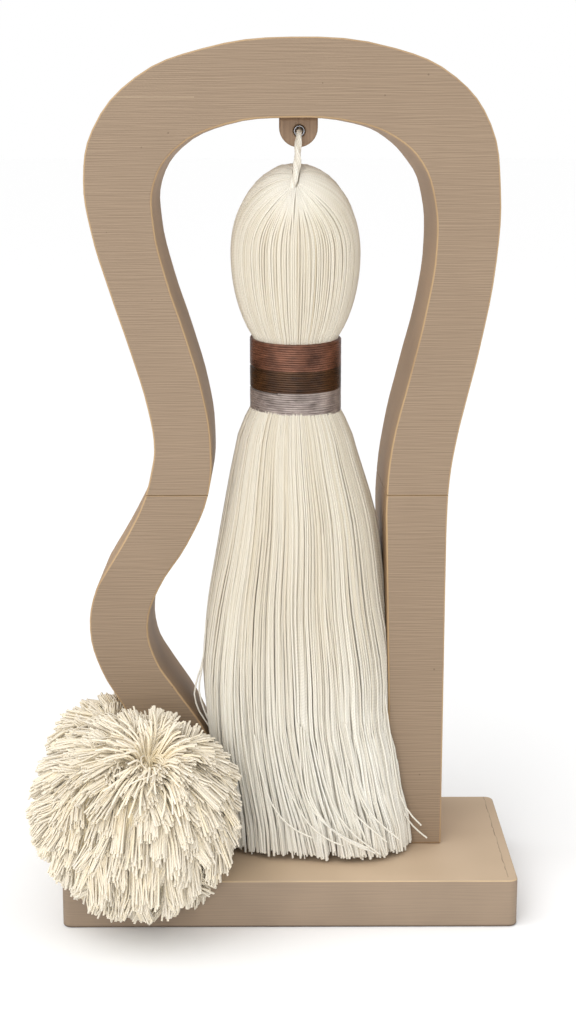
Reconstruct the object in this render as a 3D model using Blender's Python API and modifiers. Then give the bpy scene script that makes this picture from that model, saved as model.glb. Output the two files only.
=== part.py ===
"""A yarn tassel and pompom on an arched wooden stand.

Metres, +Z up. The origin is the centre of the base board's underside, and -Y is the front.
Tables give their rows in millimetres, in the columns that the comment above them names.
"""

import math

import bmesh
import bpy
import numpy as np
from mathutils import Vector

MM = 0.001
GAP = 0.3 * MM  # between pieces that touch
CLEAR = 2.0 * MM  # between loose yarn and a hard edge

# Base board
BASE_WIDTH = 229 * MM
BASE_DEPTH = 116 * MM
BASE_THICK = 25 * MM
BASE_CORNER = 4.5 * MM
BASE_EDGE = 0.9 * MM

# Arch: one band bent round a keyhole, cut at two seams into a bow and two legs
ARCH_FRONT_Y = -11 * MM
ARCH_DEPTH = 68 * MM
ARCH_CHAMFER = 0.8 * MM
SEAM_Z = 212.3 * MM
RIGHT_LEG_INNER_X = 48.45 * MM

# x, z from the left foot over the top to the right foot
ARCH_OUTER = (
    (-62, 25.3), (-63, 43), (-68, 62), (-84.9, 99.3), (-96.9, 120.6), (-102.3, 142), (-98.8, 163.1),
    (-94.6, 171), (-89.8, 178.8), (-80.8, 194.4), (-73.5, 209.9), (-69.4, 225.6), (-68, 235.5),
    (-70.8, 255.8),
    (-79.4, 285.8), (-89.1, 315.4), (-97.5, 344.7), (-100.5, 368.5), (-95.7, 392.6), (-74.3, 417.6),
    (-42.4, 430.9), (0, 436.4), (50.9, 431.1), (80.2, 417.6), (97.6, 395.3), (103, 365), (101.9, 330.2),
    (94.4, 286), (88.3, 260), (83.9, 240.4), (80.8, 220), (79.8, 200), (79.6, 175), (79.6, 105),
    (79.6, 25.3),
)
# x, z from the right foot back over the top to the left foot
ARCH_INNER = (
    (51, 25.3), (51, 106), (50.3, 136), (49.8, 160), (49.1, 189), (48.8, 207), (51.2, 236.2),
    (59.4, 271), (67.2, 304.4), (72, 337), (70.7, 359.1), (64.4, 376.8), (51.6, 388.8),
    (33.3, 395.8), (0, 398.5), (-32.2, 394.9), (-55.3, 383.5), (-65.9, 367), (-66.5, 348),
    (-60.6, 321), (-50.9, 291), (-42.6, 261.1), (-39.4, 237), (-41, 212.7), (-52, 186.8),
    (-66.9, 163.3), (-72.6, 144), (-68.4, 125.6), (-58.4, 110.1), (-44.6, 89.4), (-36, 69),
    (-32.4, 47), (-31.5, 25.3),
)
# The band isn't square to its front: its back stands this far aside. z, left side, right side
ARCH_WIND = (
    (25, -6, -1.9), (105, -6, -1.9), (113, -5.6, -1.9), (122, -4.4, -1.9), (131, -2.6, -1.9),
    (140, -0.7, -1.9), (150, 0, -1.9), (200, 0, -1.9), (215, 0, -1.4), (240, 0, -0.65),
    (256, 0, -0.95), (278, 0, -0.95), (304, 0, -0.4), (343, 0, -1.2), (359, 0, -1.4),
    (370, 0, -1.7), (380, 0, -2.9), (386, 0, -2.4), (396, 0, 0), (437, 0, 0),
)

# Tongue under the bow, with the eyelet that the cord comes through
TAB_X = 4.5 * MM
TAB_WIDTH = 19.2 * MM
TAB_FRONT_Y = 8.5 * MM
TAB_THICK = 9 * MM
TAB_TOP_Z = 397.7 * MM
TAB_ROUND_Z = 393.8 * MM  # centre of the round end
TAB_EDGE = 0.5 * MM
EYELET_X = 4.9 * MM
EYELET_Z = 392.2 * MM
EYELET_BORE = 1.8 * MM  # radii
EYELET_BARREL = 2.1 * MM
EYELET_RIM = 2.9 * MM
EYELET_RIM_DEPTH = 1.5 * MM

# Hanging cord: two plies, and its route from behind the tongue to the tassel's crown
CORD_LAY = 12 * MM  # length of one full turn of a ply
CORD_STEPS = 34
CORD_SIDES = 12
PLY_RADIUS = 0.3  # as shares of the cord's diameter
PLY_OFFSET = 0.2
# x, y, z, diameter
CORD_ROUTE = (
    (4.9, 17.2, 392.2, 2.4), (4.9, 12.5, 392.2, 2.4), (4.9, 8.7, 392.2, 2.5), (4.8, 6, 391.7, 2.8),
    (4.6, 3.6, 390, 3.2), (4.4, 2.1, 387.2, 3.4), (4.1, 1.4, 383.5, 3.4), (3.7, 1.1, 379, 3.6),
    (3.4, 0.9, 375, 3.8), (3.1, 0.6, 371.7, 3.9),
)
KNOT_RADIUS = 3.4 * MM

# Tassel head: an ellipsoid about the tassel's axis, with its crown forward of the top
TASSEL_X = 3.2 * MM
TASSEL_Y = 13.5 * MM
HEAD_Z = 332 * MM
HEAD_RADIUS = 32.4 * MM
HEAD_RISE = 44.8 * MM
HEAD_DROP = 56 * MM
CROWN_TILT = math.radians(17)
CROWN_DIMPLE = 2.4 * MM
DIMPLE_WIDTH = math.radians(11)
HEAD_RIBS = 24
RIB_HEIGHT = 0.35 * MM
RIB_START = math.radians(40)  # the ribs rise to their full height by this angle from the crown
UPRIGHT = math.radians(100)  # and the lean is gone by this one
HEAD_RINGS = (2.6, 7, 14, 26, 43, 63, 86, 109, 129, 144)  # angles from the crown

# Neck and its three wound bands
NECK_TOP_Z = 290.2 * MM
NECK_SHOULDER = 23 * MM  # radius of the head's last ring, above the neck
NECK_RADIUS = 21.9 * MM
# radius, z of the backing below the neck, which holds the strands' roots
BACKING = ((24.2, 248.6), (25.8, 244.6), (26.2, 241), (24, 238.5))
WRAP_RADIUS = 23.3 * MM
WRAP_RIDGES = 5
WRAP_RIDGE = 0.35 * MM
# name, top, bottom
WRAPS = (("wrap_copper", 289.7, 276.3), ("wrap_brown", 276.0, 265.2), ("wrap_mauve", 264.9, 253.1))

# Skirt: z, centre x, half width, half depth. It is pushed to the right by the pompom and the leg
SKIRT = (
    (252.4, 2.8, 23.2, 23.2), (244, 2.9, 27.3, 27.3), (229, 3.3, 31.4, 31.4), (197, 3.6, 37.7, 37.7),
    (157, 3.1, 44, 44), (124, 2.9, 47, 47.6), (94, 6.3, 46.8, 49), (68, 12.8, 43.8, 49),
    (48, 15.8, 43.6, 49), (26, 19, 45.4, 49),
)
SKIRT_RINGS = ((0.95, 56), (0.76, 40), (0.54, 26), (0.28, 10))  # share of the width, strands
SKIRT_LEVELS = (251, 243, 217, 177, 133, 89, 55)  # z of a strand's points above its tip
SKIRT_TIP_Z = 28 * MM
SKIRT_TIP_SPREAD = 1.6 * MM
SQUARE_TOP_Z = 205 * MM  # the section is round down to here
SQUARE_FALL = 160 * MM  # and grows squarer over this height
FREE_BAND = 1.5 * MM  # depth over which strands come free of the leg's front edge
STRAND_FILL = 0.43  # a strand's radius as a share of its pitch
ROOT_DEPTH = 0.88  # a root's place and radius as shares of the strand's
ROOT_FILL = 0.8

# Pompom round the left leg's foot: a ball in front of the leg and a lobe to the left behind it
BALL = Vector((-77.5, -53.5, 61.5)) * MM
BALL_RADIUS = 52.5 * MM
LOBE = Vector((-96, 2.5, 66)) * MM
LOBE_RADIUS = 37.5 * MM
BALL_CORE = 27 * MM
LOBE_CORE = 17 * MM
# share of the way from ball to lobe, core radius as a share of the ball's
CORE_SPINE = (
    (-0.49, 0.16), (-0.42, 0.5), (-0.24, 0.86), (0, 1), (0.24, 0.9), (0.5, 0.72), (0.75, 0.66),
    (1.0, 0.63), (1.18, 0.5), (1.28, 0.2),
)
CORE_SIDES = 16
BALL_LOCKS = 112
LOBE_LOCKS = 52
LOCK_FILL = 0.38  # a lock's radius as a share of its distance to the next
LOCK_SHORTEST = 6 * MM
LOCK_ROOT = 5 * MM  # how deep a lock starts in the core
LOCK_UNEVEN = 0.03
LOCK_MIDDLE = 0.55  # share of a lock's length at its middle ring
SEATED_SLOPE = -0.55  # locks that point down more steeply than this stand on the base
TIE_DIRECTION = Vector((0.25, -0.53, 0.81)).normalized()
TIE_DIMPLE = math.radians(17)
TIE_RING = 4.2 * MM
TIE_THREAD = 0.8 * MM
GOLDEN_ANGLE = math.pi * (3 - math.sqrt(5))


for leftover in list(bpy.data.objects):
    bpy.data.objects.remove(leftover)

parts = bpy.data.collections.new("tassel_on_stand")
helpers = bpy.data.collections.new("helpers")
bpy.context.scene.collection.children.link(parts)
bpy.context.scene.collection.children.link(helpers)


def material(name, colour, roughness, metallic=0.0):
    made = bpy.data.materials.new(name)
    made.use_nodes = True
    shader = made.node_tree.nodes["Principled BSDF"]
    shader.inputs["Base Color"].default_value = (*colour, 1)
    shader.inputs["Roughness"].default_value = roughness
    shader.inputs["Metallic"].default_value = metallic
    return made


def place(name, mesh, finish, collection=parts):
    """A new object of this mesh, in its collection and with its own material."""
    made = bpy.data.objects.new(name, mesh)
    collection.objects.link(made)
    mesh.materials.append(material(name, *finish))
    mesh.shade_smooth()
    mesh.set_sharp_from_angle(angle=math.radians(30))
    return made


WOOD = ((0.40, 0.29, 0.20), 0.6)
COTTON = ((0.85, 0.78, 0.64), 0.9)
STEEL = ((0.62, 0.62, 0.63), 0.25, 1.0)
WRAP_FINISH = {
    "wrap_copper": ((0.15, 0.06, 0.035), 0.45),
    "wrap_brown": ((0.06, 0.03, 0.02), 0.45),
    "wrap_mauve": ((0.26, 0.20, 0.18), 0.45),
}


def mesh_of(helper):
    """The evaluated mesh of a helper object in its own frame, with loose caps welded; the helper goes."""
    graph = bpy.context.evaluated_depsgraph_get()
    mesh = bpy.data.meshes.new_from_object(helper.evaluated_get(graph))
    shape = bmesh.new()
    shape.from_mesh(mesh)
    bmesh.ops.remove_doubles(shape, verts=shape.verts, dist=1e-6)
    shape.to_mesh(mesh)
    shape.free()
    mesh.transform(helper.matrix_world)
    bpy.data.objects.remove(helper)
    mesh.materials.clear()
    return mesh


def flat_curve(name, half_thick, edge):
    """A filled curve in the XZ plane with its thickness along Y and its edges broken."""
    data = bpy.data.curves.new(name, "CURVE")
    data.dimensions = "2D"
    data.fill_mode = "BOTH"
    data.extrude = half_thick - edge
    data.bevel_depth = edge
    data.bevel_resolution = 0
    data.offset = -edge
    helper = bpy.data.objects.new(name, data)
    helper.rotation_euler.x = math.pi / 2
    helpers.objects.link(helper)
    return helper


def rows_through(rows):
    """A function of the first column that gives the others, smooth through the rows, all in metres."""
    table = np.array(sorted(rows), float) * MM
    at, values = table[:, 0], table[:, 1:]
    slopes = np.gradient(values, at, axis=0)

    def value(z):
        z = min(max(z, at[0]), at[-1])
        i = min(int(np.searchsorted(at, z, side="right")) - 1, len(at) - 2)
        span = at[i + 1] - at[i]
        t = (z - at[i]) / span
        rise = values[i + 1] - values[i]
        ease = t * t * (3 - 2 * t)
        lead = t * (1 - t) ** 2 * slopes[i] - t * t * (1 - t) * slopes[i + 1]
        return values[i] + ease * rise + span * lead

    return value


def points_through(rows, steps):
    """Points with equal steps along a smooth curve through the rows; further columns follow along."""
    table = np.array(rows, float) * MM
    lengths = np.linalg.norm(np.diff(table[:, :3], axis=0), axis=1)
    along = np.concatenate([[0], np.cumsum(lengths)])
    follow = rows_through([(a, *row) for a, row in zip(along / MM, table / MM)])
    return [follow(a) for a in np.linspace(0, along[-1], steps + 1)], along[-1]


def loft(shape, rings):
    """A closed skin over rings of equal count, with a flat cap at each end."""
    made = [[shape.verts.new(point) for point in ring] for ring in rings]
    count = len(made[0])
    for low, high in zip(made, made[1:]):
        for i in range(count):
            j = (i + 1) % count
            shape.faces.new((low[i], low[j], high[j], high[i]))
    shape.faces.new(reversed(made[0]))
    shape.faces.new(made[-1])


def finished(shape, name):
    """The bmesh as a mesh, with every face pointing out."""
    bmesh.ops.recalc_face_normals(shape, faces=shape.faces)
    mesh = bpy.data.meshes.new(name)
    shape.to_mesh(mesh)
    shape.free()
    return mesh


def smooth_step(t):
    t = min(max(t, 0.0), 1.0)
    return t * t * (3 - 2 * t)


# --- Base board: a thick board with rounded corners and softened edges


def build_base():
    shape = bmesh.new()
    bmesh.ops.create_cube(shape, size=1)
    bmesh.ops.scale(shape, vec=(BASE_WIDTH, BASE_DEPTH, BASE_THICK), verts=shape.verts)
    bmesh.ops.translate(shape, vec=(0, 0, BASE_THICK / 2), verts=shape.verts)
    upright = [edge for edge in shape.edges if abs(edge.verts[0].co.z - edge.verts[1].co.z) > GAP]
    bmesh.ops.bevel(shape, geom=upright, offset=BASE_CORNER, segments=5, profile=0.5, affect="EDGES")
    board = place("base_board", finished(shape, "base_board"), WOOD)
    soften = board.modifiers.new("soft edges", "BEVEL")
    soften.width = BASE_EDGE
    soften.segments = 2
    soften.limit_method = "ANGLE"
    soften.angle_limit = math.radians(50)


# --- Arch: one flat band, cut at the seams into bow, left leg and right leg


wind_row = rows_through(ARCH_WIND)


def wind_at(point):
    """How far the band's wind moves it aside at this point."""
    left, right = wind_row(point.z)
    return (left if point.x < 0 else right) * (point.y - ARCH_FRONT_Y) / ARCH_DEPTH


def arch_mesh():
    helper = flat_curve("arch", ARCH_DEPTH / 2, ARCH_CHAMFER)
    helper.location.y = ARCH_FRONT_Y + ARCH_DEPTH / 2
    outline = helper.data.splines.new("BEZIER")
    outline.use_cyclic_u = True
    outline.resolution_u = 4
    helper.data.resolution_u = 4
    rows = ARCH_OUTER + ARCH_INNER
    corners = {0, len(ARCH_OUTER) - 1, len(ARCH_OUTER), len(rows) - 1}
    outline.bezier_points.add(len(rows) - 1)
    for i, (point, (x, z)) in enumerate(zip(outline.bezier_points, rows)):
        point.co = (x * MM, z * MM, 0)
        kind = "VECTOR" if i in corners else "AUTO"
        point.handle_left_type = kind
        point.handle_right_type = kind
    bpy.context.view_layer.update()
    mesh = mesh_of(helper)
    for vertex in mesh.vertices:
        vertex.co.x += wind_at(vertex.co)
    return mesh


def arch_piece(name, whole, low, high, side=None):
    """The band between two heights, on one side of the middle where a side is given."""
    shape = bmesh.new()
    shape.from_mesh(whole)
    for height, up in ((low, -1), (high, 1)):
        if height is None:
            continue
        everything = list(shape.verts) + list(shape.edges) + list(shape.faces)
        cut = bmesh.ops.bisect_plane(
            shape, geom=everything, plane_co=(0, 0, height), plane_no=(0, 0, up), clear_outer=True
        )
        rim = [part for part in cut["geom_cut"] if isinstance(part, bmesh.types.BMEdge)]
        bmesh.ops.edgeloop_fill(shape, edges=rim)
    if side:
        other = [vert for vert in shape.verts if vert.co.x * side < 0]
        bmesh.ops.delete(shape, geom=other, context="VERTS")
    bmesh.ops.triangulate(shape, faces=shape.faces)
    place(name, finished(shape, name), WOOD)


def build_arch():
    whole = arch_mesh()
    arch_piece("arch_bow", whole, SEAM_Z + GAP / 2, None)
    arch_piece("left_leg", whole, None, SEAM_Z - GAP / 2, side=-1)
    arch_piece("right_leg", whole, None, SEAM_Z - GAP / 2, side=1)


# --- Tongue and eyelet


def ring_points(centre_x, centre_z, radius, start, end, count):
    angles = np.linspace(start, end, count)
    return [(centre_x + radius * math.cos(a), centre_z + radius * math.sin(a)) for a in angles]


def build_tab():
    helper = flat_curve("hanger_tab", TAB_THICK / 2, TAB_EDGE)
    helper.location.y = TAB_FRONT_Y + TAB_THICK / 2
    half = TAB_WIDTH / 2
    bore = EYELET_BARREL + GAP + TAB_EDGE
    tongue = [(TAB_X + half, TAB_TOP_Z), (TAB_X - half, TAB_TOP_Z)]
    tongue += ring_points(TAB_X, TAB_ROUND_Z, half, math.pi, 2 * math.pi, 17)
    hole = ring_points(EYELET_X, EYELET_Z, bore, 0, -2 * math.pi, 25)[:-1]
    for outline in (tongue, hole):
        spline = helper.data.splines.new("POLY")
        spline.use_cyclic_u = True
        spline.points.add(len(outline) - 1)
        for point, (x, z) in zip(spline.points, outline):
            point.co = (x, z, 0, 1)
    bpy.context.view_layer.update()
    place("hanger_tab", mesh_of(helper), WOOD)


def turned(name, profile, axis, finish, steps):
    """A closed profile turned about an axis; profile points are in the object's own frame."""
    shape = bmesh.new()
    points = [shape.verts.new(point) for point in profile]
    for first, second in zip(points, points[1:] + points[:1]):
        shape.edges.new((first, second))
    mesh = bpy.data.meshes.new(name)
    shape.to_mesh(mesh)
    shape.free()
    made = place(name, mesh, finish)
    turn = made.modifiers.new("turn", "SCREW")
    turn.axis = axis
    turn.steps = steps
    turn.render_steps = steps
    turn.use_merge_vertices = True
    turn.merge_threshold = 1e-6
    turn.use_smooth_shade = True
    return made


def build_eyelet():
    """A barrel through the tongue with a rolled rim on its front face. Y is the turning axis."""
    seat = -GAP
    roll = (EYELET_RIM - EYELET_BORE) / 2
    crown = EYELET_BORE + roll
    # r, y: up the bore to the front, round the rim, and back along the barrel
    profile = [(EYELET_BORE, TAB_THICK)]
    for angle in np.linspace(math.pi, 0, 7):
        depth = seat - EYELET_RIM_DEPTH + roll - roll * math.sin(angle)
        profile.append((crown + roll * math.cos(angle), depth))
    profile += [(EYELET_RIM, seat), (EYELET_BARREL, seat), (EYELET_BARREL, TAB_THICK)]
    eyelet = turned("eyelet", [(r, y, 0) for r, y in profile], "Y", STEEL, 24)
    eyelet.modifiers["turn"].use_normal_flip = True
    eyelet.location = (EYELET_X, TAB_FRONT_Y, EYELET_Z)


# --- Hanging cord and its stopper knot


def two_ply_ring(centre, along, diameter, turn):
    """One section of two plies laid together: wide across the plies, narrow between them."""
    across = Vector((1, 0, 0))
    across = (across - along * across.dot(along)).normalized()
    up = along.cross(across)
    ring = []
    for i in range(CORD_SIDES):
        angle = 2 * math.pi * i / CORD_SIDES
        chord = math.sqrt(PLY_RADIUS**2 - (PLY_OFFSET * math.sin(angle)) ** 2)
        radius = (PLY_OFFSET * abs(math.cos(angle)) + chord) * diameter
        spin = angle + turn
        ring.append(centre + (across * math.cos(spin) + up * math.sin(spin)) * radius)
    return ring


def build_cord():
    stations, length = points_through(CORD_ROUTE, CORD_STEPS)
    places = [Vector(row[:3]) for row in stations]
    rings = []
    for i, (centre, row) in enumerate(zip(places, stations)):
        along = places[min(i + 1, CORD_STEPS)] - places[max(i - 1, 0)]
        turn = 2 * math.pi * (length * i / CORD_STEPS) / CORD_LAY
        rings.append(two_ply_ring(centre, along.normalized(), row[3], turn))
    shape = bmesh.new()
    loft(shape, rings)
    place("hanging_cord", finished(shape, "hanging_cord"), COTTON)


def build_knot():
    shape = bmesh.new()
    bmesh.ops.create_uvsphere(shape, u_segments=14, v_segments=9, radius=KNOT_RADIUS)
    mesh = finished(shape, "cord_knot")
    knot = place("cord_knot", mesh, COTTON)
    knot.location = (EYELET_X, TAB_FRONT_Y + TAB_THICK + GAP + KNOT_RADIUS, EYELET_Z)


# --- Tassel: ribbed head, neck and backing in one, with the skirt's strands rooted in it


def head_point(polar, angle, rib):
    """A point on the head at a polar angle from the crown; the crown leans to the front."""
    tilt = CROWN_TILT * (1 - smooth_step(polar / UPRIGHT))
    x = math.sin(polar) * math.cos(angle)
    y = math.sin(polar) * math.sin(angle)
    z = math.cos(polar)
    y, z = y * math.cos(tilt) - z * math.sin(tilt), y * math.sin(tilt) + z * math.cos(tilt)
    rise = HEAD_RISE if z > 0 else HEAD_DROP
    reach = 1 / math.sqrt((x * x + y * y) / HEAD_RADIUS**2 + (z / rise) ** 2)
    reach += rib * smooth_step(polar / RIB_START)
    reach -= CROWN_DIMPLE * math.exp(-((polar / DIMPLE_WIDTH) ** 2))
    return Vector((TASSEL_X + reach * x, TASSEL_Y + reach * y, HEAD_Z + reach * z))


def level_ring(radius, z, count):
    angles = [2 * math.pi * i / count for i in range(count)]
    return [(TASSEL_X + radius * math.cos(a), TASSEL_Y + radius * math.sin(a), z) for a in angles]


def tassel_core():
    count = 2 * HEAD_RIBS
    last = math.pi - math.atan(NECK_SHOULDER / (HEAD_Z - NECK_TOP_Z))
    rings = []
    for polar in [math.radians(angle) for angle in HEAD_RINGS] + [last]:
        ring = []
        for i in range(count):
            rib = RIB_HEIGHT if i % 2 else -RIB_HEIGHT
            ring.append(head_point(polar, 2 * math.pi * i / count, rib))
        rings.append(ring)
    for z in (NECK_TOP_Z - GAP, WRAPS[-1][2] * MM - GAP):
        rings.append(level_ring(NECK_RADIUS, z, count))
    for radius, z in BACKING:
        rings.append(level_ring(radius * MM, z * MM, count))
    shape = bmesh.new()
    loft(shape, rings)
    return place("tassel", finished(shape, "tassel"), COTTON)


skirt_row = rows_through(SKIRT)


def skirt_point(share, angle, z, margin):
    """Where a strand at this share of the skirt's width, and in this direction, is at height z."""
    centre_x, half_width, half_depth = skirt_row(z)
    square = 2 + smooth_step((SQUARE_TOP_Z - z) / SQUARE_FALL)
    c, s = math.cos(angle), math.sin(angle)
    reach = share / (abs(c) ** square + abs(s) ** square) ** (1 / square)
    x, y = reach * c, reach * s
    depth = TASSEL_Y + half_depth * y
    # beside the right leg a strand stays clear of it, and in front of the leg it hangs free
    nearest = RIGHT_LEG_INNER_X + wind_row(z)[1]
    beside = nearest - CLEAR - margin - centre_x
    front = ARCH_FRONT_Y - CLEAR - margin
    free = smooth_step((front - depth) / FREE_BAND)
    widest = half_width * max(1 - abs(y) ** square, 1e-6) ** (1 / square)
    held = min(1.0, beside / widest) if c > 0 else 1.0
    return Vector((centre_x + half_width * x * (held + (1 - held) * free), depth, z))


def add_strand(shape, share, angle, pitch_angle, tip_z):
    """A three-sided strand, rooted in the backing and growing thicker towards its tip."""
    rings = []
    levels = [z * MM for z in SKIRT_LEVELS] + [tip_z]
    for n, z in enumerate(levels):
        half_width = skirt_row(z)[1]
        radius = STRAND_FILL * share * half_width * pitch_angle
        centre = skirt_point(share, angle, z, radius)
        if n == 0:  # the root is sunk in the backing
            centre.x = TASSEL_X + (centre.x - TASSEL_X) * ROOT_DEPTH
            centre.y = TASSEL_Y + (centre.y - TASSEL_Y) * ROOT_DEPTH
            radius *= ROOT_FILL
        turns = [angle + 2 * math.pi * k / 3 for k in range(3)]
        rings.append([centre + Vector((math.cos(a), math.sin(a), 0)) * radius for a in turns])
    loft(shape, rings)


def build_tassel():
    core = tassel_core()
    shape = bmesh.new()
    for share, count in SKIRT_RINGS:
        for i in range(count):
            angle = 2 * math.pi * (i + 0.5) / count
            spread = SKIRT_TIP_SPREAD * math.sin(7.3 * i + 5 * share)
            add_strand(shape, share, angle, 2 * math.pi / count, SKIRT_TIP_Z + spread)
    strands = place("skirt_strands", finished(shape, "skirt_strands"), COTTON, helpers)
    strands.hide_render = True
    strands.display_type = "WIRE"
    join = core.modifiers.new("strand roots", "BOOLEAN")
    join.operation = "UNION"
    join.object = strands
    join.solver = "EXACT"


def build_wraps():
    inner = NECK_RADIUS + GAP
    for name, top, bottom in WRAPS:
        high, low = top * MM, bottom * MM
        # down the ridged outer side, then up the plain inner side
        profile = []
        for i in range(2 * WRAP_RIDGES + 1):
            radius = WRAP_RADIUS - (0 if i % 2 else WRAP_RIDGE)
            profile.append((radius, 0, high + (low - high) * i / (2 * WRAP_RIDGES)))
        profile += [(inner, 0, low), (inner, 0, high)]
        band = turned(name, profile, "Z", WRAP_FINISH[name], 28)
        band.location = (TASSEL_X, TASSEL_Y, 0)


# --- Pompom: a core bent round the leg, with locks that stop short of what they would touch


def over_base(point, margin):
    beside = abs(point.x) < BASE_WIDTH / 2 + margin
    return beside and abs(point.y) < BASE_DEPTH / 2 + margin


def blocked(point, margin, floor_gap):
    """True where a lock's middle line would be too near the leg or the base, or under the table."""
    leg_side = np.interp(point.z / MM, *reversed(list(zip(*ARCH_OUTER[:6])))) * MM + wind_at(point)
    if point.y > ARCH_FRONT_Y - CLEAR - margin and point.x > leg_side - CLEAR - margin:
        return True
    if not over_base(point, 0):
        floor_gap = CLEAR + margin
    if over_base(point, CLEAR + margin) and point.z < BASE_THICK + floor_gap:
        return True
    return point.z < CLEAR + margin


def add_lock(shape, centre, out, start, reach, fill, seated):
    """A three-sided lock that widens outwards. A seated one ends level, just off the base."""
    side = out.orthogonal().normalized()
    other = out.cross(side)
    rings = []
    for t in (0.0, LOCK_MIDDLE, 1.0):
        distance = start + (reach - start) * t
        radius = fill * distance
        middle = centre + out * distance
        turns = [2 * math.pi * k / 3 for k in range(3)]
        rings.append([middle + (side * math.cos(a) + other * math.sin(a)) * radius for a in turns])
    if seated:
        for point in rings[1]:
            point.z = max(point.z, BASE_THICK + CLEAR)
        for point in rings[2]:
            point.z = BASE_THICK + GAP
    loft(shape, rings)


def add_locks(shape, centre, radius, core_radius, count, keep):
    """Locks in evenly spread directions, from inside the core out to the ball's surface."""
    pitch = math.sqrt(4 * math.pi / count)
    for i in range(count):
        height = 1 - 2 * (i + 0.5) / count
        flat = math.sqrt(1 - height * height)
        turn = GOLDEN_ANGLE * i
        out = Vector((flat * math.cos(turn), flat * math.sin(turn), height))
        longest = radius * (1 - LOCK_UNEVEN + LOCK_UNEVEN * math.sin(11 * i))
        margin = LOCK_FILL * pitch * longest
        if out.angle(TIE_DIRECTION) < TIE_DIMPLE and not keep:
            continue
        steep = height < SEATED_SLOPE
        floor_gap = GAP if steep else CLEAR + margin
        reach = core_radius
        while reach < longest and not blocked(centre + out * (reach + MM), margin, floor_gap):
            reach += MM
        tip = centre + out * reach
        seated = steep and over_base(tip, 0) and tip.z < BASE_THICK + margin
        if not seated and reach < core_radius + LOCK_SHORTEST:
            continue
        if keep and not keep(tip):
            continue
        add_lock(shape, centre, out, core_radius - LOCK_ROOT, reach, LOCK_FILL * pitch, seated)


def pompom_core():
    """An egg-shaped core: full in the ball, and drawn thin past the leg into the lobe."""
    spine = LOBE - BALL
    along = spine.normalized()
    side = along.cross(Vector((0, 0, 1))).normalized()
    up = side.cross(along)
    shape = bmesh.new()
    rings = []
    for share, width in CORE_SPINE:
        centre = BALL + spine * share
        turns = [2 * math.pi * k / CORE_SIDES for k in range(CORE_SIDES)]
        radius = BALL_CORE * width
        rings.append([centre + (side * math.cos(a) + up * math.sin(a)) * radius for a in turns])
    loft(shape, rings)
    return place("pompom", finished(shape, "pompom"), COTTON)


def build_pompom():
    core = pompom_core()
    shape = bmesh.new()
    add_locks(shape, BALL, BALL_RADIUS, BALL_CORE, BALL_LOCKS, None)

    def beyond_ball(tip):
        return (tip - BALL).length > BALL_RADIUS + CLEAR

    add_locks(shape, LOBE, LOBE_RADIUS, LOBE_CORE, LOBE_LOCKS, beyond_ball)
    locks = place("pompom_locks", finished(shape, "pompom_locks"), COTTON, helpers)
    locks.hide_render = True
    locks.display_type = "WIRE"
    join = core.modifiers.new("lock roots", "BOOLEAN")
    join.operation = "UNION"
    join.object = locks
    join.solver = "EXACT"


def build_tie():
    bpy.ops.mesh.primitive_torus_add(
        major_radius=TIE_RING, minor_radius=TIE_THREAD, major_segments=20, minor_segments=6
    )
    ring = bpy.context.object
    ring.name = "pompom_tie"
    ring.rotation_euler = TIE_DIRECTION.to_track_quat("Z", "Y").to_euler()
    ring.location = BALL + TIE_DIRECTION * (BALL_CORE + TIE_THREAD + GAP)
    for collection in list(ring.users_collection):
        collection.objects.unlink(ring)
    parts.objects.link(ring)
    ring.data.materials.append(material("pompom_tie", *COTTON))
    ring.data.shade_smooth()


build_base()
build_arch()
build_tab()
build_eyelet()
build_cord()
build_knot()
build_tassel()
build_wraps()
build_pompom()
build_tie()
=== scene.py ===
import math
import random

import bmesh
import bpy
import numpy as np
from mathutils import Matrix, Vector
from mathutils.bvhtree import BVHTree


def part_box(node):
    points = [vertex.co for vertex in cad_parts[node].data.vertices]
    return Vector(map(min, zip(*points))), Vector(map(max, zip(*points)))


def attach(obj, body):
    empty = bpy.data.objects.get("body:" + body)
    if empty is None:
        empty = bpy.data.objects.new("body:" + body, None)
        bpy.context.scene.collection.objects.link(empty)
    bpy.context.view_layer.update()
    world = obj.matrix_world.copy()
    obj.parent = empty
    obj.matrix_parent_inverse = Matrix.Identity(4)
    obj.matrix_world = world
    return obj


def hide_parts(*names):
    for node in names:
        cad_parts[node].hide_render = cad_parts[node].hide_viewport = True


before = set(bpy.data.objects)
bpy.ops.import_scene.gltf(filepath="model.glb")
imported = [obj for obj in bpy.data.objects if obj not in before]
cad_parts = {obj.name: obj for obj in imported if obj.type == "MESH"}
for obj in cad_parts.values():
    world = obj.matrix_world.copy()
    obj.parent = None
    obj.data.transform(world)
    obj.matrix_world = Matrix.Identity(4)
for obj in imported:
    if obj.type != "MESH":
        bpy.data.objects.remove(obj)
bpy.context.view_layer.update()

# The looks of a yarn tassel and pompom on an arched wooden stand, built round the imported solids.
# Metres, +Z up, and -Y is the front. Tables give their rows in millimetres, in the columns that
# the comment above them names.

MM = 0.001
scene = bpy.context.scene


# --- Camera
# A normal lens a step away, level with the tassel's head and looking a little down.

CAMERA_PLACE = Vector((-6.4, -903.0, 395.9)) * MM
CAMERA_DOWN = math.radians(12.15)
CAMERA_RIGHT = math.radians(0.36)
LENS, SENSOR = 63.5, 36  # millimetres, the sensor along its long side


def placed(name, data):
    """A new object with this mesh, light or camera."""
    made = bpy.data.objects.new(name, data)
    scene.collection.objects.link(made)
    return made


camera = placed("camera", bpy.data.cameras.new("camera"))
camera.data.lens = LENS
camera.data.sensor_width = SENSOR
camera.location = CAMERA_PLACE
camera.rotation_euler = (math.pi / 2 - CAMERA_DOWN, 0, -CAMERA_RIGHT)
scene.camera = camera


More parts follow.
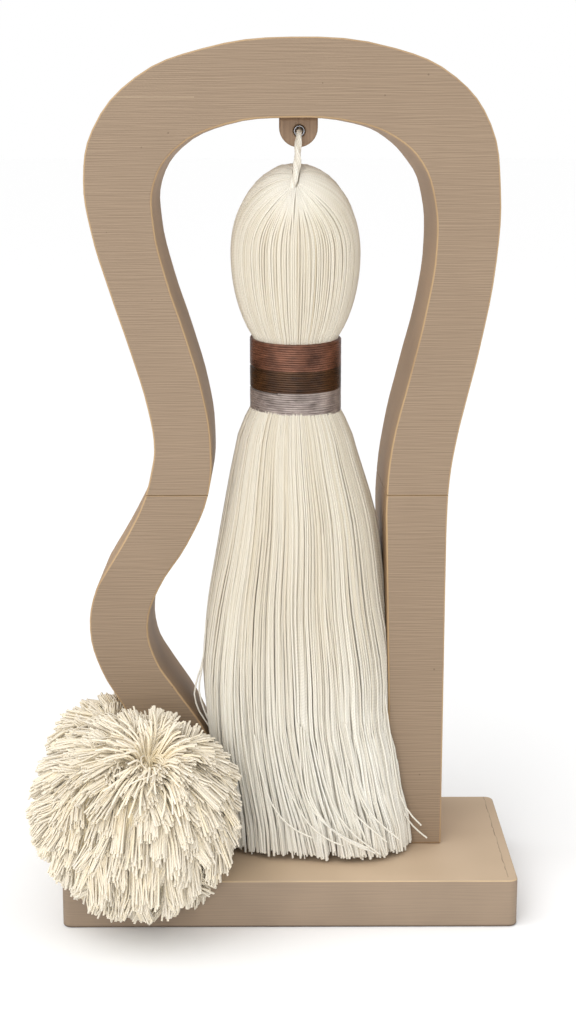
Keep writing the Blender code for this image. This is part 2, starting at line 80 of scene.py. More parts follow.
# --- Base board
# A thick board of fine-grained wood, stained grey-brown and sealed matt. Its sawn edges keep a
# fine horizontal grain, its top is sanded smoother and painted lighter for the light from above,
# its arrises are worn pale and painted lighter still as a highlight, and a painted contact shadow
# runs along its foot.

MOTTLE = 38 * MM  # size of the stain's cloudy patches
GRAIN_DEPTH = 0.06 * MM
STREAK_STEP = 1.1  # a streak is the change over this many of its widths
# |normal| along a face's axis: 1 on the face, 0 on a side, and an arris lies between
SIDE_TO_ARRIS, ARRIS_TO_FACE = (0.12, 0.35), (0.75, 0.95)
WELD = 0.001 * MM
ONE_FACE = math.radians(0.2)  # faces this close to one plane are one
SHARP = math.radians(35)  # a sharper edge is shaded sharp
EASED, EASE = math.radians(40), 0.25 * MM  # an edge sharper than this is rounded by so much
SCORE_INSET = 4.8 * MM  # a scored line runs this far in from the right-hand edge
SCORE_WIDTH = 0.5 * MM
SCORE_WANDER, SCORE_BEND = 1.6 * MM, 9 * MM  # how far it strays to the side, and over what length
SCORE_END = 4 * MM  # how far from the front edge it stops
CONTACT_SHADOW_HEIGHT = 1.5 * MM  # a painted contact shadow darkens the foot of the board this far up


def linear(colour):
    """An sRGB hex colour as linear RGBA."""
    parts = [int(colour[i : i + 2], 16) / 255 for i in (1, 3, 5)]
    return (*[v / 12.92 if v <= 0.04045 else ((v + 0.055) / 1.055) ** 2.4 for v in parts], 1)


def add(tree, kind, inputs=(), **settings):
    """A node of this kind with its settings; an input is a value or another node's output."""
    node = tree.nodes.new(kind)
    for name, value in settings.items():
        setattr(node, name, value)
    for key, value in dict(inputs).items():
        if isinstance(value, bpy.types.NodeSocket):
            tree.links.new(value, node.inputs[key])
        else:
            node.inputs[key].default_value = value
    return node


def new_finish(name, values):
    """A new material, its node tree and its Principled shader with these fixed values."""
    made = bpy.data.materials.new(name)
    made.use_nodes = True
    shader = made.node_tree.nodes["Principled BSDF"]
    for socket, value in values.items():
        shader.inputs[socket].default_value = value
    return made, made.node_tree, shader


MIX_A, MIX_B, MIXED = 6, 7, 2  # a Mix node's colour inputs and output


def stained_wood(name, face_axis, streak, tones, side, worn, side_grain):
    """Stained wood: fine streaks on the faces square to one axis, and plain on its other sides.

    streak is the size of one grain streak along each axis in millimetres, tones are the streaks'
    dark and light colours, and side_grain is how strongly they show on the other sides. side is
    the other sides' plain colour, and worn is the arrises' colour: worn pale, and painted lighter
    still as a highlight.
    """
    made, tree, shader = new_finish(name, {"Roughness": 0.62, "IOR": 1.48})
    place = add(tree, "ShaderNodeTexCoord").outputs["Object"]
    # the change between two places one streak apart has fine streaks only
    streaks = []
    size = Vector([1 / (length * MM) for length in streak])
    for shift in (0.0, STREAK_STEP):
        shifts = Vector([shift * (length == min(streak)) for length in streak])
        scaled = {"Vector": place, "Scale": size, "Location": shifts}
        scaled = add(tree, "ShaderNodeMapping", scaled).outputs[0]
        noise = {"Vector": scaled, "Scale": 1.0, "Detail": 0.0}
        streaks.append(add(tree, "ShaderNodeTexNoise", noise).outputs["Fac"])
    cloud = {"Vector": place, "Scale": 1 / MOTTLE, "Detail": 2.0}
    mottle = add(tree, "ShaderNodeTexNoise", cloud).outputs["Fac"]
    change = {0: streaks[0], 1: streaks[1]}
    change = add(tree, "ShaderNodeMath", change, operation="SUBTRACT").outputs[0]
    grain = {0: mottle, 1: 0.4, 2: change}
    grain = add(tree, "ShaderNodeMath", grain, operation="MULTIPLY_ADD").outputs[0]
    spread = {"Value": grain, "From Min": -0.15, "From Max": 0.55}
    level = add(tree, "ShaderNodeMapRange", spread).outputs[0]
    dark, light = (linear(tone) for tone in tones)
    face = add(tree, "ShaderNodeMix", {0: level, MIX_A: dark, MIX_B: light}, data_type="RGBA")

    normal = add(tree, "ShaderNodeNewGeometry").outputs["Normal"]
    along = add(tree, "ShaderNodeSeparateXYZ", {0: normal}).outputs[face_axis]
    facing = add(tree, "ShaderNodeMath", {0: along}, operation="ABSOLUTE").outputs[0]
    shares = []
    for low, high in (ARRIS_TO_FACE, SIDE_TO_ARRIS):
        span = {"Value": facing, "From Min": low, "From Max": high}
        shares.append(add(tree, "ShaderNodeMapRange", span).outputs[0])
    on_face, off_side = shares
    # the arrises take the worn colour: worn pale, and painted lighter still as a highlight
    arris = add(tree, "ShaderNodeMath", {0: off_side, 1: on_face}, operation="SUBTRACT").outputs[0]
    rubbed_and_highlit = {"Value": mottle, "From Min": 0.3, "From Max": 0.6, "To Min": 0.35, "To Max": 0.9}
    rubbed_and_highlit = add(tree, "ShaderNodeMapRange", rubbed_and_highlit).outputs[0]
    arris = add(tree, "ShaderNodeMath", {0: arris, 1: rubbed_and_highlit}, operation="MULTIPLY").outputs[0]

    cloudy = {"Value": mottle, "From Min": 0.35, "From Max": 0.65, "To Min": 0.92, "To Max": 1.05}
    cloudy = add(tree, "ShaderNodeMapRange", cloudy).outputs[0]
    lined = {"Value": level, "To Min": 1 - side_grain, "To Max": 1 + side_grain}
    lined = add(tree, "ShaderNodeMapRange", lined).outputs[0]
    cloudy = add(tree, "ShaderNodeMath", {0: cloudy, 1: lined}, operation="MULTIPLY").outputs[0]
    plain = {"Scale": cloudy, 0: linear(side)[:3]}
    plain = add(tree, "ShaderNodeVectorMath", plain, operation="SCALE").outputs[0]
    two = {0: on_face, MIX_A: plain, MIX_B: face.outputs[MIXED]}
    two = add(tree, "ShaderNodeMix", two, data_type="RGBA").outputs[MIXED]
    three = {0: arris, MIX_A: two, MIX_B: linear(worn)}
    three = add(tree, "ShaderNodeMix", three, data_type="RGBA").outputs[MIXED]
    tree.links.new(three, shader.inputs["Base Color"])

    relief = add(tree, "ShaderNodeMath", {0: level, 1: on_face}, operation="MULTIPLY").outputs[0]
    bump = {"Height": relief, "Strength": 0.35, "Distance": GRAIN_DEPTH}
    tree.links.new(add(tree, "ShaderNodeBump", bump).outputs[0], shader.inputs["Normal"])
    return made, tree, shader


def overlaid(tree, shader, marks):
    """Lays marks over a finish's own colour, each given as its share and its colour."""
    colour = shader.inputs["Base Color"].links[0].from_socket
    for share, mark in marks:
        colour = {0: share, MIX_A: colour, MIX_B: linear(mark)}
        colour = add(tree, "ShaderNodeMix", colour, data_type="RGBA").outputs[MIXED]
    tree.links.new(colour, shader.inputs["Base Color"])


def skinned(name, shape, finish):
    """A smooth-shaded object with this shape and finish."""
    mesh = bpy.data.meshes.new(name)
    shape.to_mesh(mesh)
    shape.free()
    mesh.shade_smooth()
    mesh.materials.append(finish)
    return placed(name, mesh)


def fitted(piece, node):
    """Makes a piece one of the object's own, which stands for a CAD node."""
    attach(piece, "root")
    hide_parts(node)


def dressed(node, name, finish):
    """A welded, smooth-shaded copy of a wooden CAD node, with its arrises eased."""
    shape = bmesh.new()
    shape.from_mesh(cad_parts[node].data)
    bmesh.ops.remove_doubles(shape, verts=shape.verts, dist=WELD)
    bmesh.ops.dissolve_limit(shape, angle_limit=ONE_FACE, verts=shape.verts, edges=shape.edges)
    piece = skinned(name, shape, finish)
    piece.data.set_sharp_from_angle(angle=SHARP)
    ease = piece.modifiers.new("eased arrises", "BEVEL")
    ease.limit_method = "ANGLE"
    ease.angle_limit = EASED
    ease.width = EASE
    ease.segments = 2
    even = piece.modifiers.new("even shading", "WEIGHTED_NORMAL")
    even.keep_sharp = True
    fitted(piece, node)
    return piece


# The board's faces are its top and underside, and its sawn edges are the sides that show the
# horizontal grain. The faces' tones are far lighter than the edges' colour: the top is sanded
# smoother, and painted lighter for the light it catches from above.
board_wood, tree, shader = stained_wood(
    "stained_board_wood", 2, (26, 26, 0.45), ("#BDA68B", "#C6AF94"), "#8F7C68", "#C6AC87", 0.06
)
board_low, board_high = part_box("base_board")
place = add(tree, "ShaderNodeTexCoord").outputs["Object"]
apart = add(tree, "ShaderNodeSeparateXYZ", {0: place}).outputs
wander = {"W": apart[1], "Scale": 1 / SCORE_BEND, "Detail": 1.0}
wander = add(tree, "ShaderNodeTexNoise", wander, noise_dimensions="1D").outputs["Fac"]
drift = {0: wander, 1: SCORE_WANDER, 2: apart[0]}
drift = add(tree, "ShaderNodeMath", drift, operation="MULTIPLY_ADD").outputs[0]
score = {0: drift, 1: board_high.x - SCORE_INSET + SCORE_WANDER / 2, 2: SCORE_WIDTH / 2}
score = add(tree, "ShaderNodeMath", score, operation="COMPARE").outputs[0]
reached = {0: apart[1], 1: board_low.y + SCORE_END}
reached = add(tree, "ShaderNodeMath", reached, operation="GREATER_THAN").outputs[0]
bitten = {"Value": wander, "From Min": 0.4, "From Max": 0.6, "To Min": 0.2, "To Max": 0.5}
bitten = add(tree, "ShaderNodeMapRange", bitten).outputs[0]
for share in (reached, bitten):
    score = add(tree, "ShaderNodeMath", {0: score, 1: share}, operation="MULTIPLY").outputs[0]
# a painted contact shadow along the board's foot, darkest at the floor
painted_contact_shadow = {"Value": apart[2], "From Min": CONTACT_SHADOW_HEIGHT / 3, "From Max": CONTACT_SHADOW_HEIGHT}
painted_contact_shadow = add(tree, "ShaderNodeMapRange", {**painted_contact_shadow, "To Min": 0.9, "To Max": 0.0}).outputs[0]
# dark joins the real scored line and the painted contact shadow
dark = add(tree, "ShaderNodeMath", {0: score, 1: painted_contact_shadow}, operation="MAXIMUM").outputs[0]
overlaid(tree, shader, [(dark, "#3A2A20")])
dressed("base_board", "board", board_wood)


# --- Arch
# One thick band bent round a keyhole: a bow and two legs, butted at two seams. Its faces carry a
# fine horizontal comb grain, its bent sides are sanded plain, and the chamfers are worn pale and
# painted lighter still as a highlight.

PORE_SPACING, PORE_RADIUS = 12 * MM, 0.45 * MM  # dark pores, few and far between
PORE_STRENGTH, FIBRE_STRENGTH = 0.55, 0.35
# one long light fibre across the shoulder of the bow
FIBRE_X, FIBRE_Z = -66 * MM, 408.2 * MM
FIBRE_LENGTH, FIBRE_WIDTH = 40 * MM, 0.35 * MM

arch_wood, tree, shader = stained_wood(
    "comb_grained_arch_wood", 1, (20, 20, 0.4), ("#806C57", "#927D66"), "#A28361", "#B79A74", 0.03
)
place = add(tree, "ShaderNodeTexCoord").outputs["Object"]
apart = add(tree, "ShaderNodeSeparateXYZ", {0: place}).outputs
pores = add(tree, "ShaderNodeTexVoronoi", {"Vector": place, "Scale": 1 / PORE_SPACING})
pore = {0: pores.outputs["Distance"], 1: PORE_RADIUS / PORE_SPACING}
pore = add(tree, "ShaderNodeMath", pore, operation="LESS_THAN").outputs[0]
pore = add(tree, "ShaderNodeMath", {0: pore, 1: PORE_STRENGTH}, operation="MULTIPLY").outputs[0]
fibre = {0: apart[2], 1: FIBRE_Z, 2: FIBRE_WIDTH / 2}
fibre = add(tree, "ShaderNodeMath", fibre, operation="COMPARE").outputs[0]
within = {0: apart[0], 1: FIBRE_X, 2: FIBRE_LENGTH / 2}
within = add(tree, "ShaderNodeMath", within, operation="COMPARE").outputs[0]
for share in (within, FIBRE_STRENGTH):
    fibre = add(tree, "ShaderNodeMath", {0: fibre, 1: share}, operation="MULTIPLY").outputs[0]
overlaid(tree, shader, [(pore, "#54402F"), (fibre, "#C9B596")])
for node, name in (("arch_bow", "bow"), ("left_leg", "leg_left"), ("right_leg", "leg_right")):
    dressed(node, name, arch_wood)


# --- Tongue and eyelet
# A round-ended tongue of the same wood, let in under the bow, with its grain upright. A small
# steel eyelet is rolled into it, polished by the cord that comes through.

tongue_wood = stained_wood(
    "upright_grained_wood", 1, (0.9, 20, 30), ("#7F664F", "#937A62"), "#7E674F", "#977B60", 0.05
)[0]
LET_IN = 0.8 * MM  # its top end goes this far into the bow
tongue = dressed("hanger_tab", "tongue", tongue_wood)
tongue_top_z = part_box("hanger_tab")[1].z
for vertex in tongue.data.vertices:
    if vertex.co.z > tongue_top_z - 0.1 * MM:
        vertex.co.z += LET_IN

# Polished steel: bright, with the fine marks that rolling leaves.
eyelet_steel, tree, shader = new_finish("polished_steel", {"Metallic": 1.0, "Roughness": 0.22})
place = add(tree, "ShaderNodeTexCoord").outputs["Object"]
marks = {"Vector": place, "Scale": 1 / (0.5 * MM), "Detail": 2.0}
marks = add(tree, "ShaderNodeTexNoise", marks).outputs["Fac"]
worn = {"Value": marks, "To Min": 0.16, "To Max": 0.34}
tree.links.new(add(tree, "ShaderNodeMapRange", worn).outputs[0], shader.inputs["Roughness"])
shader.inputs["Base Color"].default_value = linear("#7C7B7E")
bump = {"Height": marks, "Strength": 0.15, "Distance": 0.02 * MM}
tree.links.new(add(tree, "ShaderNodeBump", bump).outputs[0], shader.inputs["Normal"])

EYELET_CENTRE = Vector((4.9, 8.5, 392.2)) * MM
# radius, y in front of the tongue's face: up the bore, round the rolled rim, back along the barrel
EYELET_ROLL = [
    (2.35 + 0.55 * math.cos(a), -0.95 - 0.55 * math.sin(a)) for a in np.linspace(math.pi, 0, 13)
]
EYELET_PROFILE = [(1.8, 9.0), *EYELET_ROLL, (2.9, -0.3), (2.1, -0.3), (2.1, 9.0)]
EYELET_STEPS = 48
EYELET_SHARP = math.radians(50)


def bridged(shape, ring, following):
    """Faces between two closed rings of vertices."""
    for i in range(len(ring)):
        j = (i + 1) % len(ring)
        shape.faces.new((ring[i], ring[j], following[j], following[i]))


shape = bmesh.new()
rings = []
for step in range(EYELET_STEPS):
    turn = 2 * math.pi * step / EYELET_STEPS
    ring = []
    for radius, y in EYELET_PROFILE:
        point = Vector((radius * math.cos(turn), y, radius * math.sin(turn))) * MM
        ring.append(shape.verts.new(EYELET_CENTRE + point))
    rings.append(ring)
for ring, following in zip(rings, rings[1:] + rings[:1]):
    bridged(shape, ring, following)
bmesh.ops.recalc_face_normals(shape, faces=shape.faces)
rolled_eyelet = skinned("rolled_eyelet", shape, eyelet_steel)
rolled_eyelet.data.set_sharp_from_angle(angle=EYELET_SHARP)
fitted(rolled_eyelet, "eyelet")


# --- Hanging cord
# Two plies of undyed cotton yarn laid together. It comes through the eyelet from its stopper knot
# and bends down at once to the crown of the head, a little thicker where it goes in.

CORD_LAY = 19 * MM  # length of one full turn of the plies
CORD_STEPS = 150
# x, y, z, diameter
CORD_ROUTE = (
    (4.9, 17.2, 392.2, 2.4), (4.9, 12.5, 392.2, 2.4), (4.9, 8.7, 392.2, 2.5), (4.8, 6, 391.7, 2.9),
    (4.6, 3.6, 390, 3.4), (4.4, 2.1, 387.2, 3.7), (4.1, 0.9, 383.5, 3.8), (3.9, -0.1, 379, 4),
    (3.6, -1.2, 375, 4.1), (3, -3.1, 371.6, 4), (2.2, -5.2, 368.4, 3.6), (1.6, -6.5, 365.2, 2.9),
    (1.4, -6.5, 362.4, 2),
)
CORD_YARNS = 9  # round the outside
# shares of the cord's diameter: the ring of yarns, how far it is drawn in between the two plies,
# and the radius of a yarn and of the yarn at its heart
YARN_RING, PLY_WAIST, CORD_YARN, CORD_HEART = 0.35, 0.13, 0.155, 0.24


def rows_through(rows):
    """A function of the rows' first column that gives the others, smooth through the rows."""
    table = np.array(rows, float)
    table = table[np.argsort(table[:, 0])]
    at, values = table[:, 0], table[:, 1:]
    slopes = np.gradient(values, at, axis=0)

    def value(place):
        place = np.clip(np.atleast_1d(place), at[0], at[-1])
        i = np.clip(np.searchsorted(at, place, side="right") - 1, 0, len(at) - 2)
        span = at[i + 1] - at[i]
        t = ((place - at[i]) / span)[:, None]
        ease = t * t * (3 - 2 * t)
        lead = t * (1 - t) ** 2 * slopes[i] - t * t * (1 - t) * slopes[i + 1]
        return values[i] + ease * (values[i + 1] - values[i]) + span[:, None] * lead

    return value


def smooth_path(rows, steps):
    """Rows at equal steps along a smooth curve through the rows' points, and its length."""
    table = np.array(rows, float)
    lengths = np.linalg.norm(np.diff(table[:, :3], axis=0), axis=1)
    along = np.concatenate([[0], np.cumsum(lengths)])
    path_at = rows_through([(a, *row) for a, row in zip(along, table)])
    path = path_at(np.linspace(0, along[-1], steps + 1))
    return path, np.linalg.norm(np.diff(path[:, :3], axis=0), axis=1).sum()


def guide_mesh(name, strands):
    """A mesh of open lines, one for each strand: its points, thickness and tone."""
    mesh = bpy.data.meshes.new(name)
    counts = [len(points) for points, thick, tone in strands]
    places = np.concatenate([points for points, thick, tone in strands])
    mesh.vertices.add(len(places))
    mesh.vertices.foreach_set("co", places.astype(np.float32).ravel())
    starts = np.concatenate([[0], np.cumsum(counts)])
    firsts = np.concatenate([np.arange(a, b - 1) for a, b in zip(starts, starts[1:])])
    mesh.edges.add(len(firsts))
    mesh.edges.foreach_set("vertices", np.stack([firsts, firsts + 1], 1).astype(np.int32).ravel())
    for column, layer_name in ((1, "thick"), (2, "tone")):
        spread = [np.broadcast_to(s[column], n) for s, n in zip(strands, counts)]
        layer = mesh.attributes.new(layer_name, "FLOAT", "POINT")
        layer.data.foreach_set("value", np.concatenate(spread).astype(np.float32))
    return mesh


def new_tree(name, inputs):
    """A Geometry Nodes tree with these named inputs, and its group input node."""
    tree = bpy.data.node_groups.new(name, "GeometryNodeTree")
    for label, kind in inputs:
        tree.interface.new_socket(label, in_out="INPUT", socket_type="NodeSocket" + kind)
    tree.interface.new_socket("Geometry", in_out="OUTPUT", socket_type="NodeSocketGeometry")
    return tree, add(tree, "NodeGroupInput")


def swept(tree, start, curve, scale):
    """Ends a tree: the curve becomes tubes that know how far along and round they run."""
    length = add(tree, "GeometryNodeSplineParameter").outputs["Length"]
    run = {"Geometry": curve, "Name": "run", "Value": length}
    run = add(tree, "GeometryNodeStoreNamedAttribute", run)
    ring = {"Resolution": start.outputs["Sides"], "Radius": 1.0}
    ring = add(tree, "GeometryNodeCurvePrimitiveCircle", ring).outputs["Curve"]
    place = add(tree, "GeometryNodeInputPosition").outputs[0]
    ring = {"Geometry": ring, "Name": "round", "Value": place}
    ring = add(tree, "GeometryNodeStoreNamedAttribute", ring, data_type="FLOAT_VECTOR").outputs[0]
    tube = {"Curve": run.outputs[0], "Profile Curve": ring, "Scale": scale, "Fill Caps": True}
    tube = add(tree, "GeometryNodeCurveToMesh", tube).outputs[0]
    tube = add(tree, "GeometryNodeSetShadeSmooth", {"Geometry": tube}).outputs[0]
    tube = add(tree, "GeometryNodeRealizeInstances", {"Geometry": tube}).outputs[0]
    finish = {"Geometry": tube, "Material": start.outputs["Material"]}
    tube = add(tree, "GeometryNodeSetMaterial", finish).outputs[0]
    add(tree, "NodeGroupOutput", {"Geometry": tube})


yarn_along_guides, start = new_tree(
    "yarn_along_guides", (("Guides", "Geometry"), ("Sides", "Int"), ("Material", "Material"))
)
lines = {"Mesh": start.outputs["Guides"]}
lines = add(yarn_along_guides, "GeometryNodeMeshToCurve", lines).outputs[0]
thick = add(yarn_along_guides, "GeometryNodeInputNamedAttribute", {"Name": "thick"}).outputs[0]
swept(yarn_along_guides, start, lines, thick)


def grown(name, mesh, tree, values):
    """An object grown from a mesh by a tree of Geometry Nodes, kept as a plain mesh."""
    piece = placed(name, mesh)
    grow = piece.modifiers.new(tree.name, "NODES")
    grow.node_group = tree
    for socket in tree.interface.items_tree:
        if socket.in_out == "INPUT" and socket.name in values:
            grow[socket.identifier] = values[socket.name]
    graph = bpy.context.evaluated_depsgraph_get()
    piece.data = bpy.data.meshes.new_from_object(piece.evaluated_get(graph))
    piece.modifiers.remove(grow)
    return piece


def spun(name, strands, sides, finish, node):
    """A piece of cotton yarns, each round its own guide."""
    values = {"Sides": sides, "Material": finish}
    piece = grown(name, guide_mesh(name, strands), yarn_along_guides, values)
    fitted(piece, node)
    return piece


YARN_LAY = 3 * MM  # length of one turn of a yarn's plies
YARN_STARTS = 40.0  # radians of twist between the lightest yarn's start and the darkest's
GROOVE_SHADE, GROOVE_DEPTH = 0.86, 0.1 * MM
COTTON = {"Roughness": 0.85, "Sheen Weight": 0.1, "Sheen Roughness": 0.5, "IOR": 1.4}


def twisted_yarn(name, light, dark, values):
    """Spun yarn, light to dark by its tone, with painted shade in the grooves between its plies."""
    made, tree, shader = new_finish(name, values)
    run = add(tree, "ShaderNodeAttribute", attribute_name="run").outputs["Fac"]
    tone = add(tree, "ShaderNodeAttribute", attribute_name="tone").outputs["Fac"]
    around = add(tree, "ShaderNodeAttribute", attribute_name="round").outputs["Vector"]
    # the twist starts at a different point of its turn in each strand
    own_start = {0: tone, 1: YARN_STARTS}
    own_start = add(tree, "ShaderNodeMath", own_start, operation="MULTIPLY").outputs[0]
    phase = {0: run, 1: 2 * math.pi / YARN_LAY, 2: own_start}
    phase = add(tree, "ShaderNodeMath", phase, operation="MULTIPLY_ADD").outputs[0]
    across = add(tree, "ShaderNodeMath", {0: phase}, operation="COSINE").outputs[0]
    up = add(tree, "ShaderNodeMath", {0: phase}, operation="SINE").outputs[0]
    pointer = add(tree, "ShaderNodeCombineXYZ", {0: across, 1: up}).outputs[0]
    facing = {0: around, 1: pointer}
    facing = add(tree, "ShaderNodeVectorMath", facing, operation="DOT_PRODUCT").outputs["Value"]
    # 1 on the backs of the two plies, 0 in the grooves between them
    ply = add(tree, "ShaderNodeMath", {0: facing}, operation="ABSOLUTE").outputs[0]
    colour = {0: tone, MIX_A: linear(light), MIX_B: linear(dark)}
    colour = add(tree, "ShaderNodeMix", colour, data_type="RGBA").outputs[MIXED]
    # the grooves between the plies are painted darker, as shade
    shade = {"Value": ply, "From Max": 0.7, "To Min": GROOVE_SHADE, "To Max": 1.0}
    shade = add(tree, "ShaderNodeMapRange", shade).outputs[0]
    colour = {0: colour, "Scale": shade}
    colour = add(tree, "ShaderNodeVectorMath", colour, operation="SCALE").outputs[0]
    tree.links.new(colour, shader.inputs["Base Color"])
    bump = {"Height": ply, "Strength": 0.5, "Distance": GROOVE_DEPTH}
    tree.links.new(add(tree, "ShaderNodeBump", bump).outputs[0], shader.inputs["Normal"])
    return made


# Undyed combed cotton: matt and a little hairy, so light skims it softly and goes a little way in;
# cream to tan by each yarn's tone, which differs a little at random and is painted tan as shade
# on the yarns and fillings that lie deeper, and lighter at the crown and hem as light.
inner_light = {
    "Subsurface Weight": 0.25, "Subsurface Radius": (1.0, 1.0, 1.0), "Subsurface Scale": 0.8 * MM,
}
cotton = twisted_yarn("undyed_cotton_yarn", "#F0EDE3", "#C8BCA5", {**COTTON, **inner_light})

route, cord_length = smooth_path(CORD_ROUTE, CORD_STEPS)
route *= MM
cord_length *= MM
tangents = np.gradient(route[:, :3], axis=0)
tangents /= np.linalg.norm(tangents, axis=1)[:, None]
sideways = np.array((1, 0, 0)) - tangents * tangents[:, :1]
sideways /= np.linalg.norm(sideways, axis=1)[:, None]
upwards = np.cross(tangents, sideways)
along = np.linspace(0, cord_length, CORD_STEPS + 1)


def laid_round(middle, turn, offset):
    """Points at an offset from a middle line, turned about it."""
    return middle + offset * (np.cos(turn)[:, None] * sideways + np.sin(turn)[:, None] * upwards)


cord_strands = [(route[:, :3], CORD_HEART * route[:, 3], 0.8)]
lay_turn = -2 * math.pi * along / CORD_LAY
for yarn in range(CORD_YARNS):
    place = 2 * math.pi * yarn / CORD_YARNS
    ring = (YARN_RING - PLY_WAIST * math.sin(place) ** 2) * route[:, 3:]
    points = laid_round(route[:, :3], place + lay_turn, ring)
    tone = 0.25 + 0.1 * (yarn % 4)
    cord_strands.append((points, CORD_YARN * route[:, 3], tone))
laid_cord = spun("laid_cord", cord_strands, 6, cotton, "hanging_cord")

# The stopper knot behind the tongue: the same cord in a round overhand knot.
KNOT_CENTRE = Vector((4.9, 21.2, 392.2)) * MM
KNOT_SIZE = 0.82 * MM  # the knot's curve runs about three of these from its centre
KNOT_YARN = 0.95 * MM
t = np.linspace(0, 2 * math.pi, 90)
knot_line = [np.sin(t) + 2 * np.sin(2 * t), -np.sin(3 * t), np.cos(t) - 2 * np.cos(2 * t)]
knot_line = np.stack(knot_line, 1) * KNOT_SIZE + np.array(KNOT_CENTRE)
stopper_knot = spun("stopper_knot", [(knot_line, KNOT_YARN, 0.4)], 10, cotton, "cord_knot")


# --- Tassel head
# Cotton yarns drawn down from the crown over a round core and bound at the neck. They lie side by
# side in loose bundles, with a shadow line between one bundle and the next.

TASSEL_X, TASSEL_Y = 3.2 * MM, 13.5 * MM
HEAD_Z = 332 * MM
HEAD_RADIUS = 32.4 * MM
HEAD_RISE, HEAD_DROP = 44.4 * MM, 56 * MM
CROWN_TILT = math.radians(21)  # the crown leans to the front
PARTING = math.radians(9)  # the yarns spring from a parting this long each way, front to back
UPRIGHT = math.radians(100)
CROWN_DIMPLE = 0.5 * MM
DIMPLE_WIDTH = math.radians(8)
HEAD_END = math.radians(153)  # polar angle at which the yarns go under the bands
NECK_YARN_Z = 285 * MM
HEAD_YARNS, HEAD_POINTS = 308, 26
HEAD_YARN = 0.5 * MM  # radius
HEAD_DEPTH = 0.35 * MM  # a yarn's middle lies this far under the head's surface
SUNK = 0.55 * MM  # and every second yarn's this much more
UPPER_FIRST, LOWER_FIRST = 2.5, (10, 40)  # degrees from the crown at which they come out
YARN_SWAY = 0.006  # radians by which a yarn strays round the head
BUNDLES = 33
BUNDLE_PULLS = (0.1, 0.3, 0.8)  # how tightly a bundle draws its yarns to its middle
BUNDLE_WIDTH, BUNDLE_CROWN = 0.03, 0.5 * MM  # radians aside, and how far its edges lie lower
# the yarns in front are parted below the cord's end: where, how wide and how far
PARTED, PARTED_WIDTH, PARTED_BY = math.radians(267), 0.12, 0.05
CORE_DEPTH = 0.95 * MM
# the cores under the yarns are painted tan, as the shade seen between the yarns
CORE_SHADE_TONE = 0.6
CORE_SIDES = 96


def smooth_step(t):
    t = np.clip(t, 0.0, 1.0)
    return t * t * (3 - 2 * t)


def head_points(polar, angle, lift):
    """Points on the head at polar angles from the crown, and lifted off its surface."""
    tilt = (CROWN_TILT - PARTING * np.sin(angle)) * (1 - smooth_step(polar / UPRIGHT))
    x, flat_y = np.sin(polar) * np.cos(angle), np.sin(polar) * np.sin(angle)
    y = flat_y * np.cos(tilt) - np.cos(polar) * np.sin(tilt)
    z = flat_y * np.sin(tilt) + np.cos(polar) * np.cos(tilt)
    rise = np.where(z > 0, HEAD_RISE, HEAD_DROP)
    reach = 1 / np.sqrt((x * x + y * y) / HEAD_RADIUS**2 + (z / rise) ** 2)
    reach += lift - CROWN_DIMPLE * np.exp(-((polar / DIMPLE_WIDTH) ** 2))
    return np.stack([TASSEL_X + reach * x, TASSEL_Y + reach * y, HEAD_Z + reach * z], 1)


def filling(name, shape, tone, finish, node):
    """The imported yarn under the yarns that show: one skin of one tone."""
    piece = skinned(name, shape, finish)
    layer = piece.data.attributes.new("tone", "FLOAT", "POINT")
    layer.data.foreach_set("value", np.full(len(piece.data.vertices), tone, np.float32))
    fitted(piece, node)


def lathed(rings):
    """A closed shape over rings of points."""
    shape = bmesh.new()
    made = [[shape.verts.new(point) for point in ring] for ring in rings]
    for low, high in zip(made, made[1:]):
        bridged(shape, low, high)
    shape.faces.new(made[0])
    shape.faces.new(made[-1])
    bmesh.ops.recalc_face_normals(shape, faces=shape.faces)
    return shape


chance = random.Random(7)
around = np.linspace(0, 2 * math.pi, CORE_SIDES, endpoint=False)
polars = np.linspace(0.03, HEAD_END, 34)
core_rings = [head_points(np.full(CORE_SIDES, polar), around, -CORE_DEPTH) for polar in polars]
filling("head_core", lathed(core_rings), CORE_SHADE_TONE, cotton, "tassel")

